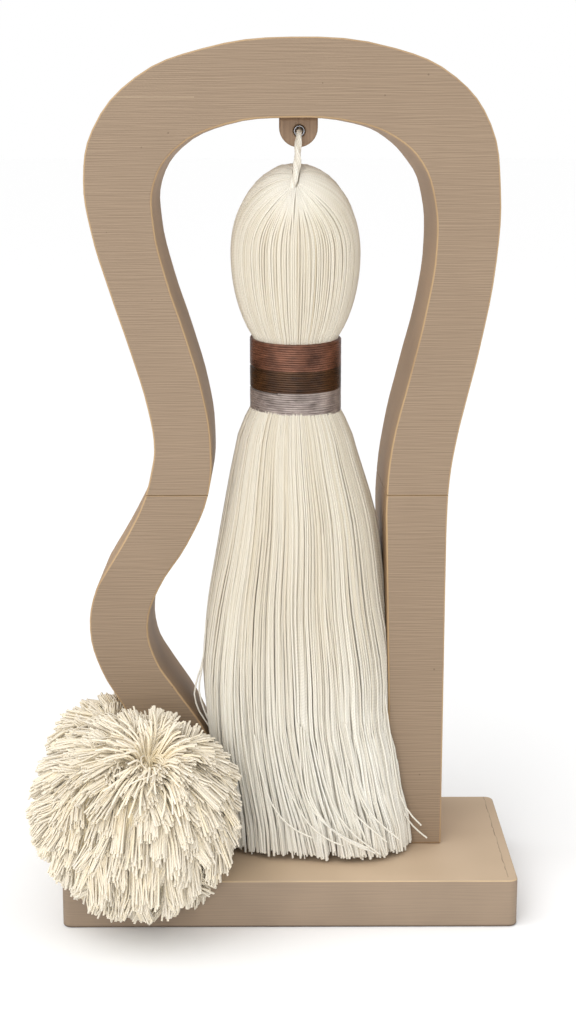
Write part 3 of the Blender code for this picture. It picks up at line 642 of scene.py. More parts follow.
head_strands = []
bundle_from = [chance.uniform(0.0, 0.35) for _ in range(BUNDLES)]
bundle_pull = [chance.choice(BUNDLE_PULLS) for _ in range(BUNDLES)]
for i in range(HEAD_YARNS):
    turn = 2 * math.pi * (i + chance.uniform(-0.2, 0.2)) / HEAD_YARNS
    # every second yarn comes out from under its neighbours lower down, so the crown isn't crowded
    lower = i % 2 == 0
    first = math.radians(chance.uniform(*LOWER_FIRST) if lower else UPPER_FIRST)
    polar = np.linspace(first, HEAD_END, HEAD_POINTS)
    s = (polar - first) / (HEAD_END - first)
    sway = chance.gauss(0, YARN_SWAY) * s
    sway = sway + YARN_SWAY * np.sin(chance.uniform(0, 6.3) + chance.uniform(2, 6) * s)
    # yarns lean to the middle of their bundle over a part of the way down
    place = turn / (2 * math.pi) * BUNDLES
    bundle = int(place) % BUNDLES
    aside = place - int(place) - 0.5
    grip = smooth_step((s - bundle_from[bundle]) / 0.15) * (1 - smooth_step((s - 0.45) / 0.5))
    grip = grip * bundle_pull[bundle]
    sway = sway - BUNDLE_WIDTH * aside * grip
    off_parting = turn - PARTED
    opened = np.sign(off_parting) * PARTED_BY * math.exp(-((off_parting / PARTED_WIDTH) ** 2))
    sway = sway + opened * (1 - smooth_step(s / 0.3))
    depth = HEAD_DEPTH + BUNDLE_CROWN * abs(aside) * grip - chance.gauss(0, 0.12) * MM
    depth = depth + lower * (SUNK + 0.5 * MM * (1 - smooth_step(s / 0.2)))
    points = head_points(polar, turn + sway, -depth)
    under = points[-1].copy()
    under[2] = NECK_YARN_Z
    points = np.vstack([points, under])
    taper = np.append(0.7 + 0.3 * smooth_step(polar / 0.6), 0.9)
    thick = HEAD_YARN * chance.uniform(0.88, 1.1) * taper
    # every second, sunk yarn is painted darker, as shade in the grooves
    tone = max(0.0, chance.gauss(0.65 + 0.2 * lower, 0.07))
    crown_painted_light = np.append(0.5 + 0.5 * smooth_step(polar / 0.9), 1)  # painted lightest at the crown, as light from above
    head_strands.append((points, thick, tone * crown_painted_light))
spun("head_yarn", head_strands, 6, cotton, "tassel")


# --- Neck bands
# Three bands of thin, glossy rayon thread wound tightly round the neck: copper brown, dark brown
# and mauve grey. The turns wander a little and ride up where one band ends against the next.

BAND_RADIUS, UNDER_RADIUS = 22.7 * MM, 22.45 * MM  # of the thread's middle, and what is under it
BAND_THREAD = 0.62 * MM  # radius
BAND_PITCH = 1.12 * MM
BAND_WANDER = 0.26 * MM
WANDER_LENGTH, WANDER_HEIGHT = 11 * MM, 2.4 * MM  # one wander's size round and up the neck
BAND_LEAN = math.tan(math.radians(4))  # the bands sit lower at the front
BAND_SIDES = 7
# sizes of the streaks, and of the wider patches of painted sheen, in which the silk is lighter or
# darker
SILK_STREAK, SILK_STREAK_HEIGHT, SILK_SHEEN_PATCH = 7 * MM, 0.9 * MM, 8 * MM
FILAMENTS = 3.0  # scale of the slanted filaments, coarser than the real ones so that they show

wound_band, start = new_tree(
    "wound_band",
    (
        ("Geometry", "Geometry"), ("Turns", "Float"), ("Height", "Float"), ("Centre", "Vector"),
        ("Seed", "Float"), ("Sides", "Int"), ("Material", "Material"),
    ),
)
spiral = {
    "Resolution": 80, "Rotations": start.outputs["Turns"], "Height": start.outputs["Height"],
    "Start Radius": BAND_RADIUS, "End Radius": BAND_RADIUS,
}
spiral = add(wound_band, "GeometryNodeCurveSpiral", spiral).outputs[0]
place = add(wound_band, "GeometryNodeInputPosition").outputs[0]
# the thread wanders up and down within a turn, and each turn differs from the next
stretch = {0: place, 1: (1 / WANDER_LENGTH, 1 / WANDER_LENGTH, 1 / WANDER_HEIGHT)}
stretch = add(wound_band, "ShaderNodeVectorMath", stretch, operation="MULTIPLY").outputs[0]
noise = {"Vector": stretch, "W": start.outputs["Seed"], "Scale": 1.0, "Detail": 1.0}
noise = add(wound_band, "ShaderNodeTexNoise", noise, noise_dimensions="4D").outputs["Color"]
noise = {0: noise, 1: (0.5, 0.5, 0.5)}
noise = add(wound_band, "ShaderNodeVectorMath", noise, operation="SUBTRACT").outputs[0]
noise = {0: noise, "Scale": BAND_WANDER}
noise = add(wound_band, "ShaderNodeVectorMath", noise, operation="SCALE").outputs[0]
lean = add(wound_band, "ShaderNodeSeparateXYZ", {0: place}).outputs[1]
lean = add(wound_band, "ShaderNodeMath", {0: lean, 1: BAND_LEAN}, operation="MULTIPLY").outputs[0]
lean = add(wound_band, "ShaderNodeCombineXYZ", {2: lean}).outputs[0]
moves = add(wound_band, "ShaderNodeVectorMath", {0: noise, 1: lean}).outputs[0]
moved = add(wound_band, "GeometryNodeSetPosition", {"Geometry": spiral, "Offset": moves}).outputs[0]
put = {"Geometry": moved, "Translation": start.outputs["Centre"]}
put = add(wound_band, "GeometryNodeTransform", put).outputs[0]
swept(wound_band, start, put, BAND_THREAD)


def silky_thread(name, light, dark):
    """Rayon thread: tight bundles of shiny filaments, streaked lighter and darker, with patches of
    painted sheen.
    """
    gloss = {"Metallic": 0.3, "Roughness": 0.36, "Specular IOR Level": 0.4}
    made, tree, shader = new_finish(name, gloss)
    place = add(tree, "ShaderNodeTexCoord").outputs["Object"]
    size = (1 / SILK_STREAK, 1 / SILK_STREAK, 1 / SILK_STREAK_HEIGHT)
    streak = add(tree, "ShaderNodeMapping", {"Vector": place, "Scale": size}).outputs[0]
    streak = {"Vector": streak, "Scale": 1.0, "Detail": 2.0}
    streak = add(tree, "ShaderNodeTexNoise", streak).outputs["Fac"]
    sheen_patch = {"Vector": place, "Scale": 1 / SILK_SHEEN_PATCH}
    sheen_patch = add(tree, "ShaderNodeTexNoise", sheen_patch).outputs["Fac"]
    # the wider patches are painted sheen
    level = add(tree, "ShaderNodeMix", {0: 0.55, 2: streak, 3: sheen_patch}).outputs[0]
    level = {"Value": level, "From Min": 0.33, "From Max": 0.67}
    level = add(tree, "ShaderNodeMapRange", level).outputs[0]
    colour = {0: level, MIX_A: linear(dark), MIX_B: linear(light)}
    colour = add(tree, "ShaderNodeMix", colour, data_type="RGBA").outputs[MIXED]
    tree.links.new(colour, shader.inputs["Base Color"])
    # the filaments lie across the thread at a slant
    run = add(tree, "ShaderNodeAttribute", attribute_name="run").outputs["Fac"]
    around = add(tree, "ShaderNodeAttribute", attribute_name="round").outputs["Vector"]
    filament = {"Vector": around, "W": run, "Scale": FILAMENTS}
    filament = add(tree, "ShaderNodeTexNoise", filament, noise_dimensions="4D").outputs["Fac"]
    bump = {"Height": filament, "Strength": 0.4, "Distance": GROOVE_DEPTH}
    tree.links.new(add(tree, "ShaderNodeBump", bump).outputs[0], shader.inputs["Normal"])
    return made


# node, top and bottom of the band, light and dark colour, slot
BANDS = (
    ("wrap_copper", 289.7, 276.3, "#825642", "#452A1E", "thread_copper"),
    ("wrap_brown", 276.0, 265.2, "#54371F", "#2A180C", "thread_brown"),
    ("wrap_mauve", 264.9, 253.1, "#B4A69F", "#6D625D", "thread_mauve"),
)
for number, (node, top, bottom, light, dark, slot) in enumerate(BANDS):
    # a turn climbs by its pitch, so one band's last turn crosses the next band's first
    height = (top - bottom) * MM - 0.4 * BAND_THREAD
    finish = silky_thread("rayon_" + slot, light, dark)
    values = {
        "Turns": height / BAND_PITCH, "Height": height, "Seed": 3.7 * number, "Sides": BAND_SIDES,
        "Centre": (TASSEL_X, TASSEL_Y, bottom * MM + 0.2 * BAND_THREAD), "Material": finish,
    }
    band = grown("wound_" + slot, bpy.data.meshes.new("wound_" + slot), wound_band, values)
    fitted(band, node)
    # the first layer of the same thread, under the turns that show
    across, back = UNDER_RADIUS * np.cos(around), UNDER_RADIUS * np.sin(around)
    rings = [
        np.stack([TASSEL_X + across, TASSEL_Y + back, z * MM + BAND_LEAN * back], 1)
        for z in (bottom - 0.3, top)
    ]
    filling("under_" + slot, lathed(rings), 0.0, finish, node)


# --- Skirt
# About sixteen hundred cotton yarns that come out from under the bands and hang to just above the
# board, where they are cut straight. The leg and the pompom push them to the right, some cross
# their neighbours, and a few hang free with curled ends.

# z, centre x, half width, half depth
SKIRT = (
    (252.4, 2.8, 23.2, 23.2), (244, 2.9, 27.3, 27.3), (229, 3.4, 31.5, 31.4), (197, 5, 39.1, 37.7),
    (177, 4.7, 42.3, 41.4), (157, 4.2, 45.2, 44), (142, 4.7, 47.3, 45.5), (121, 5.6, 49.7, 47.6),
    (94, 6.6, 49, 49), (77, 9.2, 50.2, 49), (60, 11.4, 49.8, 49), (44, 14.4, 50.8, 48.6),
    (26, 15.8, 51.6, 48.2),
)
ARCH_FRONT_Y, ARCH_BACK_Y = (corner.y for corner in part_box("right_leg"))
SQUARE_TOP_Z, SQUARE_FALL = 205 * MM, 160 * MM  # the section is round above, and squarer below
SQUARE_MORE, SQUARE_LESS = 1.1, 0.85  # how much squarer, and how much less so on the right
SKEW, SKEW_TOP_Z, SKEW_FALL = 0.12, 120 * MM, 90 * MM  # and its right side comes forward
LEG_CLEAR = 0.9 * MM  # from a yarn's middle to the arch
TINY = 1e-6  # keeps a root off nought
FREE_BAND = 1.5 * MM  # depth over which yarns come free of the leg's front edge
SKIRT_TOP_Z, SKIRT_HEM_Z = 255.5 * MM, 27.6 * MM
SKIRT_YARN, STRAY_YARN = 0.5 * MM, 0.46 * MM  # radii
OUTER_FULLER = 1.12  # a yarn of the outermost layer is this much thicker
# share of the width, yarns, points in a yarn, sides
SKIRT_LAYERS = (
    (1.0, 262, 21, 5), (0.991, 300, 19, 4), (0.981, 320, 16, 3), (0.967, 310, 14, 3),
)
SKIRT_PIECES = {5: "skirt_outer_yarn", 4: "skirt_second_yarn", 3: "skirt_inner_yarn"}
TUCK, TUCK_Z, TUCK_HEIGHT = 0.075, 249 * MM, 6 * MM  # the tops are drawn in under the bands
# the core's share of the width, how much it is drawn in above what height, and where it ends
CORE_SHARE, CORE_NECK, CORE_NECK_Z, CORE_HEM_Z = 0.952, 0.94, 250 * MM, 35 * MM
DRIFT, WAVE = 0.014, 0.008  # radians by which a yarn strays aside, and waves
# the share of yarns that cross others, radians by which they do, and how much further out
CROSSING_SHARE, CROSSING_DRIFT, CROSSING_LIFT = 0.12, 0.075, 0.012
# yarns gather in clumps: clumps round the skirt, and how closely a clump gathers
CLUMPS = ((53, 0.17), (83, 0.17), (19, 0.1))
# radians by which the lower ends in front are swept to the right, from what share of their fall,
# and in the layers wider than what share
SWEEP, SWEEP_FROM, SWEPT_LAYERS = 0.23, 0.68, 0.98
FRAY = 1.18  # the cut end is this much thicker
# yarns, the share of the width that they fill, the height of their tops, and the turn from one
# to the next, which spreads them evenly
HEM_YARNS, HEM_FILL, HEM_TOP_Z, HEM_TURN = 420, 0.8, 53 * MM, 2.39996

skirt_row = rows_through(np.array(SKIRT) * MM)


def solid_tree(nodes):
    """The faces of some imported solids, for rays to meet."""
    vertices, faces = [], []
    for node in nodes:
        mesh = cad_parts[node].data
        first = len(vertices)
        vertices += [vertex.co.copy() for vertex in mesh.vertices]
        faces += [[first + i for i in face.vertices] for face in mesh.polygons]
    return BVHTree.FromPolygons(vertices, faces)


def inner_sides(side):
    """Distances from the tassel's middle to the arch on one side, at its front and at its back."""
    found = []
    for y in (ARCH_FRONT_Y + 2 * MM, ARCH_BACK_Y - 2 * MM):
        starts = [Vector((TASSEL_X, y, z)) for z in leg_levels]
        found.append([arch.ray_cast(start, Vector((side, 0, 0)))[3] for start in starts])
    return np.array(found)


arch = solid_tree(("left_leg", "right_leg", "arch_bow"))
leg_levels = np.linspace(26 * MM, 260 * MM, 40)
leg_sides = {side: inner_sides(side) for side in (-1, 1)}


def skirt_points(share, angle, z):
    """Where yarns at this share of the skirt's width, and in this direction, are at heights z."""
    centre_x, half_width, half_depth = skirt_row(z).T
    c, s = np.cos(angle), np.sin(angle)
    square = 2 + (SQUARE_MORE - SQUARE_LESS * c) * smooth_step((SQUARE_TOP_Z - z) / SQUARE_FALL)
    reach = share / (np.abs(c) ** square + np.abs(s) ** square) ** (1 / square)
    x, y = reach * c, reach * s
    skew = SKEW * smooth_step((SKEW_TOP_Z - z) / SKEW_FALL)
    depth = TASSEL_Y + half_depth * y - skew * half_width * x
    free = smooth_step((ARCH_FRONT_Y - LEG_CLEAR - depth) / FREE_BAND)
    widest = half_width * np.maximum(1 - np.abs(y) ** square, TINY) ** (1 / square)
    back = np.clip((depth - ARCH_FRONT_Y) / (ARCH_BACK_Y - ARCH_FRONT_Y), 0, 1)
    held = 1.0
    for side, (at_front, at_back) in leg_sides.items():
        at_front, at_back = (np.interp(z, leg_levels, hits) for hits in (at_front, at_back))
        beside = at_front + (at_back - at_front) * back + side * (TASSEL_X - centre_x) - LEG_CLEAR
        held = np.where(c * side > 0, np.minimum(1.0, beside / widest), held)
    return np.stack([centre_x + half_width * x * (held + (1 - held) * free), depth, z], 1)


chance = random.Random(21)
core_rings = []
for z in np.linspace(SKIRT_TOP_Z, CORE_HEM_Z, 24):
    share = CORE_SHARE * (CORE_NECK if z > CORE_NECK_Z else 1)
    core_rings.append(skirt_points(share, around, np.full(CORE_SIDES, z)))
filling("skirt_core", lathed(core_rings), CORE_SHADE_TONE, cotton, "tassel")

skirt_groups = {sides: [] for sides in SKIRT_PIECES}
for share, count, points_each, sides in SKIRT_LAYERS:
    for i in range(count):
        turn = 2 * math.pi * (i + chance.uniform(-0.22, 0.22)) / count
        hem = SKIRT_HEM_Z + chance.gauss(0, 0.9) * MM + abs(chance.gauss(0, 1.3)) * MM
        fall = np.linspace(0, 1, points_each) ** 1.15
        z = SKIRT_TOP_Z + (hem - SKIRT_TOP_Z) * fall
        crossing = chance.random() < CROSSING_SHARE
        sway = chance.gauss(0, CROSSING_DRIFT if crossing else DRIFT) * fall**1.5
        sway = sway + WAVE * np.sin(chance.uniform(0, 6.3) + chance.uniform(2, 7) * fall)
        for clumps, gather in CLUMPS:
            phase = clumps * turn + 2.5 * math.sin(3 * turn + clumps)
            phase = phase + 1.5 * np.sin(4 * fall + 2 * turn)
            sway = sway + gather / clumps * np.sin(phase) * smooth_step(fall / 0.3)
        if share > SWEPT_LAYERS:
            sweep = 0.5 + 0.5 * math.sin(23 * turn + 3 * math.sin(5 * turn))
            sweep *= max(0.0, -math.sin(turn)) * smooth_step((math.cos(turn) + 0.75) / 0.8)
            sway = sway + SWEEP * sweep * smooth_step((fall - SWEEP_FROM) / 0.4) ** 1.5
        depth = chance.gauss(0, 0.007) + 0.004 * np.sin(chance.uniform(0, 6.3) + 5 * fall)
        if crossing:
            depth = depth + CROSSING_LIFT * smooth_step(fall * 3)
        tuck = 1 - TUCK * smooth_step((z - TUCK_Z) / TUCK_HEIGHT)
        points = skirt_points((share + depth) * tuck, turn + sway, z)
        thick = SKIRT_YARN * chance.uniform(0.84, 1.16) * (0.8 + 0.2 * smooth_step(fall / 0.3))
        thick = thick * (OUTER_FULLER if share == 1.0 else 1.0)
        thick[-1] *= FRAY
        painted_light_by_height = 0.68 - 0.5 * smooth_step((fall - 0.35) / 0.55)  # painted lighter towards the hem, against the shade low on the skirt
        # yarns in the deeper layers are painted darker, as the shade between the outer yarns
        tone = np.maximum(0.0, chance.gauss(0.0, 0.09) + 2.5 * (1 - share) + painted_light_by_height)
        skirt_groups[sides].append((points, thick, tone))

# short inner yarns fill the hem, as seen from below
for i in range(HEM_YARNS):
    turn, share = HEM_TURN * i, HEM_FILL * math.sqrt((i + 0.5) / HEM_YARNS)
    hem = SKIRT_HEM_Z + abs(chance.gauss(0, 1.4)) * MM
    z = np.linspace(HEM_TOP_Z, hem, 4)
    points = skirt_points(share, turn + chance.gauss(0, 0.03) * np.linspace(0, 1, 4), z)
    skirt_groups[3].append((points, SKIRT_YARN * 1.2, 0.5))

# x, y, z along yarns that have left the rest
STRAYS = (
    ((-43, -1.5, 145), (-45.3, -5.5, 122.3), (-48, -6.5, 113.7), (-49.3, -7.5, 106.6),
     (-47.6, -8.5, 99.5), (-42.7, -8.5, 91), (-36, -9.5, 81)),
    ((-42.5, 0.5, 140), (-45.5, -6.5, 119.2), (-46.8, -9.5, 109.5), (-44.8, -10.5, 101),
     (-40.8, -10.5, 91), (-33, -11.5, 79)),
    ((46, -13, 128), (49.5, -15.5, 104), (52.5, -18.5, 82.9), (55.5, -19.5, 63.9), (57.7, -20, 54),
     (62, -20.5, 46.3), (68.3, -20.5, 39.3)),
    ((50.5, -13, 92), (53, -14.5, 71), (57.3, -16.5, 52.1), (61.7, -17.5, 41.1),
     (65.9, -17.5, 36.1), (71.7, -17.5, 31.1)),
    ((-8, -37.5, 97), (-3.5, -38.5, 74.7), (2.6, -39.5, 59.6), (11.8, -40, 45.6),
     (22, -40.5, 38.5), (27, -40.5, 36.5)),
    ((4, -37.5, 101), (5.1, -38.5, 84.1), (7.1, -39.5, 65.9), (14.3, -40.5, 51.9),
     (29.1, -41, 40.5), (40, -40.5, 35)),
    ((5.5, -37.5, 99), (7, -38.5, 82), (9.3, -39.5, 63.5), (16.5, -40.5, 50), (31, -41, 39),
     (43, -40.5, 32.5)),
    ((7, -37.5, 97), (8.2, -38.5, 80), (11, -39.5, 61.5), (18.6, -40.5, 48), (33, -41, 37),
     (42, -40.5, 33)),
    ((28, -35.5, 100), (31.5, -36.5, 82.6), (33.7, -37.5, 68.7), (42, -38, 51.9),
     (55.7, -37.5, 38.4)),
    ((21, -36.5, 87), (25.5, -37.5, 69.6), (31.7, -38.5, 54.5), (41, -39, 45.2),
     (49.5, -38.5, 37.6)),
    ((-18, -37.5, 95), (-14.1, -38.5, 73.5), (-7.6, -39.5, 55.8), (1.1, -40, 46),
     (11.3, -40, 40.6)),
    ((13, -37, 97), (16.3, -38, 75.3), (22.5, -39, 56), (31.7, -39.5, 43), (45.6, -39.5, 31.5)),
)
for rows in STRAYS:
    points = smooth_path(rows, 14)[0]
    skirt_groups[5].append((points * MM, STRAY_YARN, 0.3))
for sides, strands in skirt_groups.items():
    spun(SKIRT_PIECES[sides], strands, sides, cotton, "tassel")


# --- Pompom
# A hank of the same yarn bound tightly in its middle and cut: thousands of straight ends that
# spring from the binding into a ball in front of the left leg and a lobe behind it. The ends
# stand in small tufts, droop a little, and rest on the board and against the leg.

# x, y, z, radius, strands, tufts: the ball in front of the leg, its left flank, the lobe behind
CLUSTERS = (
    (-77.5, -53.5, 61, 51.5, 11500, 250), (-91, -27.5, 60, 38.5, 2400, 95),
    (-92.5, 2.5, 67.5, 35.2, 3000, 120),
)
OVERLAP = 6  # millimetres by which an end may lie inside another cluster
TIE = np.array((0.25, -0.53, 0.81))  # from the ball's middle to its binding
TIE /= np.linalg.norm(TIE)
CRATER = math.radians(13)  # nothing grows straight out of the binding
POMPOM_YARN, FLUFFED = 0.56 * MM, 1.15  # radius, and how many times thicker the cut end is
# how closely a tuft gathers its ends, millimetres by which it stands out, and degrees by which it
# goes aside
TUFT_PULL, TUFT_UNEVEN, TUFT_SWING = (0.2, 0.7), 1.4, 10
ROOT_AT, ROOT_LEAN = 0.6, 1.7  # share of the radius at which a strand starts, and its lean there
CUT_UNEVEN, CURL = 1.5, 0.6  # millimetres
LEAN = math.radians(26)  # how far round the ball a strand leans from where it comes up
BEND_HEIGHT = 0.95  # share of its reach at which it turns over
WEIGHT = 0.8  # how much of its lean is down rather than away from the binding
SETTLED = 0.05  # share by which the top has sunk
# directions in which the ball is fuller, and by what share of its radius
FULLER = (
    ((0.62, -0.5, -0.6), 0.07), ((0.75, -0.25, 0.61), 0.06), ((0.0, -0.6, -0.8), 0.03),
    ((-0.97, -0.1, 0.2), 0.05), ((-0.8, -0.2, -0.56), -0.05),
)
FULL_WIDTH = 0.5  # radians
# the filling under the ends takes the pile's warm tone, painted for light passed between them
FILLING_DEPTH, FILLING_CLEAR, FILLING_BOUNCE_TONE = 9 * MM, 1 * MM, 0.8
CRATER_DEPTH, CRATER_WIDTH = 0.5, 0.3  # of the filling: a share of its reach, and radians
OFF_EDGE, OFF_TABLE = 0.5 * MM, 1.5 * MM  # an end that meets something stops this far off it
SHORTEST = 7 * MM
UNDER_SHARE, UNDER_DROP = 0.22, 4 * MM  # shorter strands between the tufts
GOLDEN_ANGLE = math.pi * (3 - math.sqrt(5))

in_the_way = solid_tree(("base_board", "left_leg", "arch_bow", "tassel"))


def spread_directions(count):
    """Evenly spread unit vectors."""
    i = np.arange(count)
    height = 1 - 2 * (i + 0.5) / count
    flat = np.sqrt(1 - height * height)
    return np.stack([flat * np.cos(GOLDEN_ANGLE * i), flat * np.sin(GOLDEN_ANGLE * i), height], 1)


def stopped(points):
    """The points of a strand up to what it first meets, or to the table."""
    kept = [points[0]]
    for a, b in zip(points, points[1:]):
        step = Vector(b - a)
        distance = in_the_way.ray_cast(Vector(a), step, step.length + OFF_EDGE)[3]
        if distance is not None or b[2] < OFF_TABLE:
            share = (distance - OFF_EDGE) / step.length if distance is not None else 0
            if share > 0.15:
                kept.append(a + share * (b - a))
            break
        kept.append(b)
    return np.array(kept)


def bezier(start, bend, end, count):
    t = np.linspace(0, 1, count)[:, None]
    return (1 - t) ** 2 * start + 2 * t * (1 - t) * bend + t * t * end


def toward(way, goal, angle):
    """The unit vector way, turned by an angle towards a goal."""
    goal = goal / np.linalg.norm(goal)
    aside = goal - way * (way @ goal)
    return math.cos(angle) * way + math.sin(angle) * aside / np.linalg.norm(aside)


def tufted_strands(number, seed):
    """A cluster's strands, from inside it to its surface, without ends inside another cluster."""
    chance = np.random.default_rng(seed)
    x, y, z, radius, count, tufts = CLUSTERS[number]
    centre, radius = np.array((x, y, z)) * MM, radius * MM
    others = [row for i, row in enumerate(CLUSTERS) if i != number]
    fuller = FULLER if number == 0 else ()
    tuft_ways = spread_directions(tufts) + chance.normal(0, 0.05, (tufts, 3))
    tuft_ways /= np.linalg.norm(tuft_ways, axis=1)[:, None]
    tuft_reach = chance.normal(0, TUFT_UNEVEN, tufts) * MM
    tuft_pull = chance.uniform(*TUFT_PULL, tufts)
    tuft_side = chance.normal(0, 1, (tufts, 3))
    tuft_swing = np.radians(np.abs(chance.normal(0, TUFT_SWING, tufts)))
    strands = []
    for way in spread_directions(count):
        way = way + chance.normal(0, 0.02, 3)
        way /= np.linalg.norm(way)
        tuft = int(np.argmax(tuft_ways @ way))
        under = chance.random() < UNDER_SHARE
        end_way = way + tuft_pull[tuft] * (not under) * (tuft_ways[tuft] - way)
        end_way /= np.linalg.norm(end_way)
        from_tie = math.acos(np.clip(end_way @ TIE, -1, 1))
        if number == 0 and from_tie < CRATER:
            continue
        flat = 1 - abs(end_way[2])
        reach = radius * (1 - SETTLED * max(0.0, end_way[2])) + tuft_reach[tuft]
        for full_way, share in fuller:
            off = math.acos(np.clip(end_way @ np.array(full_way), -1, 1))
            reach += share * radius * math.exp(-((off / FULL_WIDTH) ** 2))
        reach -= abs(chance.normal(0, CUT_UNEVEN)) * MM + UNDER_DROP * under
        end = centre + end_way * reach
        off = [(np.linalg.norm(end - np.array(row[:3]) * MM), row[3] - OVERLAP) for row in others]
        if any(distance < inside * MM for distance, inside in off):
            continue
        # a strand comes up nearer the binding than it ends, leans over under its own weight, and
        # goes aside with its tuft
        lean = LEAN * chance.uniform(0.8, 1.2) * min(1.0, from_tie / 0.7)
        goal = TIE * (1 - WEIGHT * flat) + np.array((0, 0, WEIGHT * flat))
        back = toward(toward(way, goal, lean), tuft_side[tuft], tuft_swing[tuft])
        start = centre + ROOT_AT * radius * toward(way, goal, ROOT_LEAN * lean)
        bend = centre + BEND_HEIGHT * reach * back
        points = bezier(start, bend, end, 5)
        curl = chance.normal(0, CURL, 3) * MM
        points[-2] += curl * 0.6 - 0.4 * MM * end_way
        points[-1] += (chance.uniform(-0.5, 2.0) * MM) * end_way - curl * 0.6
        points = stopped(points)
        length = np.linalg.norm(np.diff(points, axis=0), axis=1).sum()
        if length < SHORTEST:
            continue
        # the tone rises towards the root: painted warm light down between the ends
        tone = abs(chance.normal(0.0, 0.14)) + 0.75 * np.linspace(1, 0, len(points)) ** 1.2
        thick = np.full(len(points), POMPOM_YARN * chance.uniform(0.86, 1.12))
        thick[-1] *= FLUFFED
        strands.append((points, thick, tone))
    return strands


# The same cotton where it is cut and fluffed: cream at the tips, and painted a warm pale
# yellow down between them, for the light that passes from yarn to yarn there.
pile = twisted_yarn("cut_cotton_pile", "#F1E8D7", "#FDECC2", COTTON)

ball_strands = tufted_strands(0, 5)
lobe_strands = tufted_strands(1, 6) + tufted_strands(2, 8)

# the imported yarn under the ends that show, as far as the board and the leg let it reach
for number, (x, y, z, radius, count, tufts) in enumerate(CLUSTERS):
    centre = Vector((x, y, z)) * MM
    shape = bmesh.new()
    bmesh.ops.create_icosphere(shape, subdivisions=4, radius=1.0)
    for vertex in shape.verts:
        way = vertex.co.normalized()
        reach = radius * MM - FILLING_DEPTH
        if number == 0:
            from_tie = way.angle(Vector(TIE))
            reach *= 1 - CRATER_DEPTH * math.exp(-((from_tie / CRATER_WIDTH) ** 2))
        distance = in_the_way.ray_cast(centre, way, reach + FILLING_CLEAR)[3]
        if distance is not None:
            reach = min(reach, distance - FILLING_CLEAR)
        vertex.co = centre + way * reach
    filling("pompom_core_" + str(number), shape, FILLING_BOUNCE_TONE, pile, "pompom")

# Long strands that leave the binding and lie over the ball before they end
BALL = np.array(CLUSTERS[0][:3]) * MM
BALL_RADIUS = CLUSTERS[0][3] * MM
TIE_DEPTH = 17 * MM  # the binding lies this far under the ball's surface
LAID_BUNDLES, LAID_EACH = 15, 13
LAID_FIRST = math.radians(4)  # from the binding
LAID_REACH = (20, 40)  # degrees round the ball, and up to LAID_LOWER more at the front
LAID_LOWER = 14
tie_side = np.cross(TIE, (0, 0, 1))
tie_side /= np.linalg.norm(tie_side)
tie_down = np.cross(TIE, tie_side)
chance = np.random.default_rng(11)
laid_strands = []
for bundle in range(LAID_BUNDLES):
    turn = 2 * math.pi * (bundle + chance.uniform(-0.4, 0.4)) / LAID_BUNDLES
    heading = math.cos(turn) * tie_side + math.sin(turn) * tie_down
    far = math.radians(chance.uniform(*LAID_REACH) + LAID_LOWER * max(0.0, -heading[2]))
    over = chance.uniform(-2.5, 1.5) * MM
    for _ in range(LAID_EACH):
        own = turn + chance.normal(0, 0.10)
        heading = math.cos(own) * tie_side + math.sin(own) * tie_down
        end = far * chance.uniform(0.45, 1.0)
        t = np.linspace(0, 1, 9)
        polar = LAID_FIRST + (end - LAID_FIRST) * t
        height = BALL_RADIUS - TIE_DEPTH + (TIE_DEPTH + over) * smooth_step(t / 0.7)
        height = height + (chance.normal(0, 1.2) * t + chance.uniform(0, 3.5) * t**3) * MM
        swing = own + chance.normal(0, 0.08) * t**2
        heading = np.cos(swing)[:, None] * tie_side + np.sin(swing)[:, None] * tie_down
        way = np.cos(polar)[:, None] * TIE + np.sin(polar)[:, None] * heading
        points = stopped(BALL + height[:, None] * way)
        if len(points) > 4:
            # the tone rises towards the root: painted warm light down between the ends
            tone = abs(chance.normal(0.06, 0.12)) + 0.5 * np.linspace(1, 0, len(points))
            laid_strands.append((points, POMPOM_YARN * chance.uniform(0.88, 1.1), tone))

spun("pompom_ball_yarn", ball_strands[::2], 3, pile, "pompom")
spun("pompom_ball_yarn_2", ball_strands[1::2], 3, pile, "pompom")
spun("pompom_lobe_yarn", lobe_strands, 3, pile, "pompom")
spun("pompom_laid_yarn", laid_strands, 4, pile, "pompom")

# The binding: two turns of thread deep in the crater, and the loose loop of its knot
BINDING_RADIUS, BINDING_THREAD, LOOP_THREAD = 3.6 * MM, 0.5 * MM, 0.36 * MM
tie_place = BALL + TIE * (BALL_RADIUS - TIE_DEPTH)
t = np.linspace(0, 4 * math.pi, 60)[:, None]
wound = BINDING_RADIUS * (np.cos(t) * tie_side + np.sin(t) * tie_down) + t * 0.12 * MM * TIE
tie_strands = [(tie_place + wound, BINDING_THREAD, 0.3)]
# offsets along side, down and out of the binding
TIE_LOOPS = (
    ((0, 0, 2), (3, -2, 9), (7, 1, 13), (8, 6, 14), (5, 9, 13), (2, 6, 9), (0, 1, 3)),
    ((0, 0, 2), (-2, 4, 10), (1, 10, 15), (6, 14, 16.5), (13, 15, 16.5), (21, 17, 15)),
)
for rows in TIE_LOOPS:
    x, y, z = smooth_path(rows, 24)[0].T[:, :, None] * MM
    points = tie_place + x * tie_side + y * tie_down + z * TIE
    tie_strands.append((points, LOOP_THREAD, 0.1))
spun("tie_thread", tie_strands, 6, pile, "pompom_tie")


# --- Studio
# A plain white floor that runs out of sight, a soft sky all round, one broad soft light from
# above on the left, and two soft boxes at the front and the right.

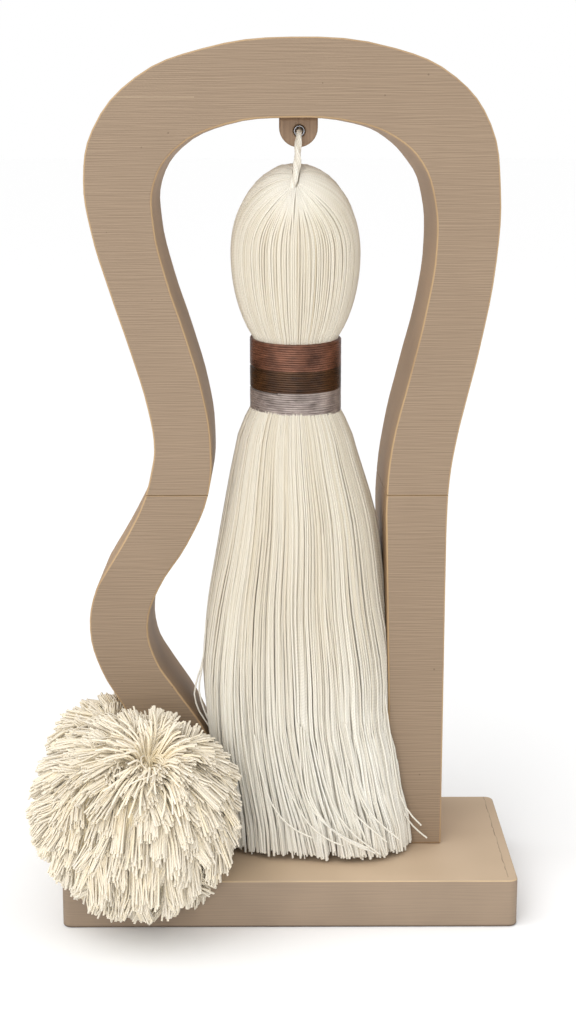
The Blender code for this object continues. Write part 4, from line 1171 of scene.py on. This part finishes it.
FLOOR_SIZE = 40
KEY_STRENGTH = 0.9
KEY_ANGLE = math.radians(50)  # how broad the light is, as seen from the object
KEY_TURN = (math.radians(35), 0, math.radians(-60))
SKY_LOW, SKY_HIGH = 0.38, 1.0  # strength at the horizon and overhead
# x, y, z, width, watts: the soft boxes, in metres
BOXES = ((-0.35, -1.75, 0.7, 1.1, 17.0), (1.25, -0.75, 0.7, 0.35, 1.6))
AIM = Vector((0, 0, 0.25))

scene.view_settings.view_transform = "Standard"

floor_mesh = bpy.data.meshes.new("floor")
shape = bmesh.new()
bmesh.ops.create_grid(shape, x_segments=1, y_segments=1, size=FLOOR_SIZE / 2)
shape.to_mesh(floor_mesh)
shape.free()
floor = placed("floor", floor_mesh)
white_paper, tree, shader = new_finish("white_paper", {"Roughness": 0.9, "Specular IOR Level": 0.1})
shader.inputs["Base Color"].default_value = linear("#FDFDFD")
floor_mesh.materials.append(white_paper)

key = placed("key_light", bpy.data.lights.new("key_light", "SUN"))
key.data.energy = KEY_STRENGTH
key.data.angle = KEY_ANGLE
key.rotation_euler = KEY_TURN

for number, (x, y, z, width, watts) in enumerate(BOXES):
    name = "soft_box_" + str(number)
    box = placed(name, bpy.data.lights.new(name, "AREA"))
    box.data.energy = watts
    box.data.size = width
    box.location = (x, y, z)
    box.rotation_euler = (AIM - box.location).to_track_quat("-Z", "Y").to_euler()
    box.visible_camera = False

sky = bpy.data.worlds.new("sky")
scene.world = sky
sky.use_nodes = True
tree = sky.node_tree
way = add(tree, "ShaderNodeTexCoord").outputs["Generated"]
height = add(tree, "ShaderNodeSeparateXYZ", {0: way}).outputs[2]
soft = {"Value": height, "To Min": SKY_LOW, "To Max": SKY_HIGH}
soft = add(tree, "ShaderNodeMapRange", soft).outputs[0]
seen = add(tree, "ShaderNodeLightPath").outputs["Is Camera Ray"]
strength = add(tree, "ShaderNodeMix", {0: seen, 2: soft, 3: 1.0}).outputs[0]
light = tree.nodes["Background"]
light.inputs["Color"].default_value = linear("#FFFFFF")
tree.links.new(strength, light.inputs["Strength"])
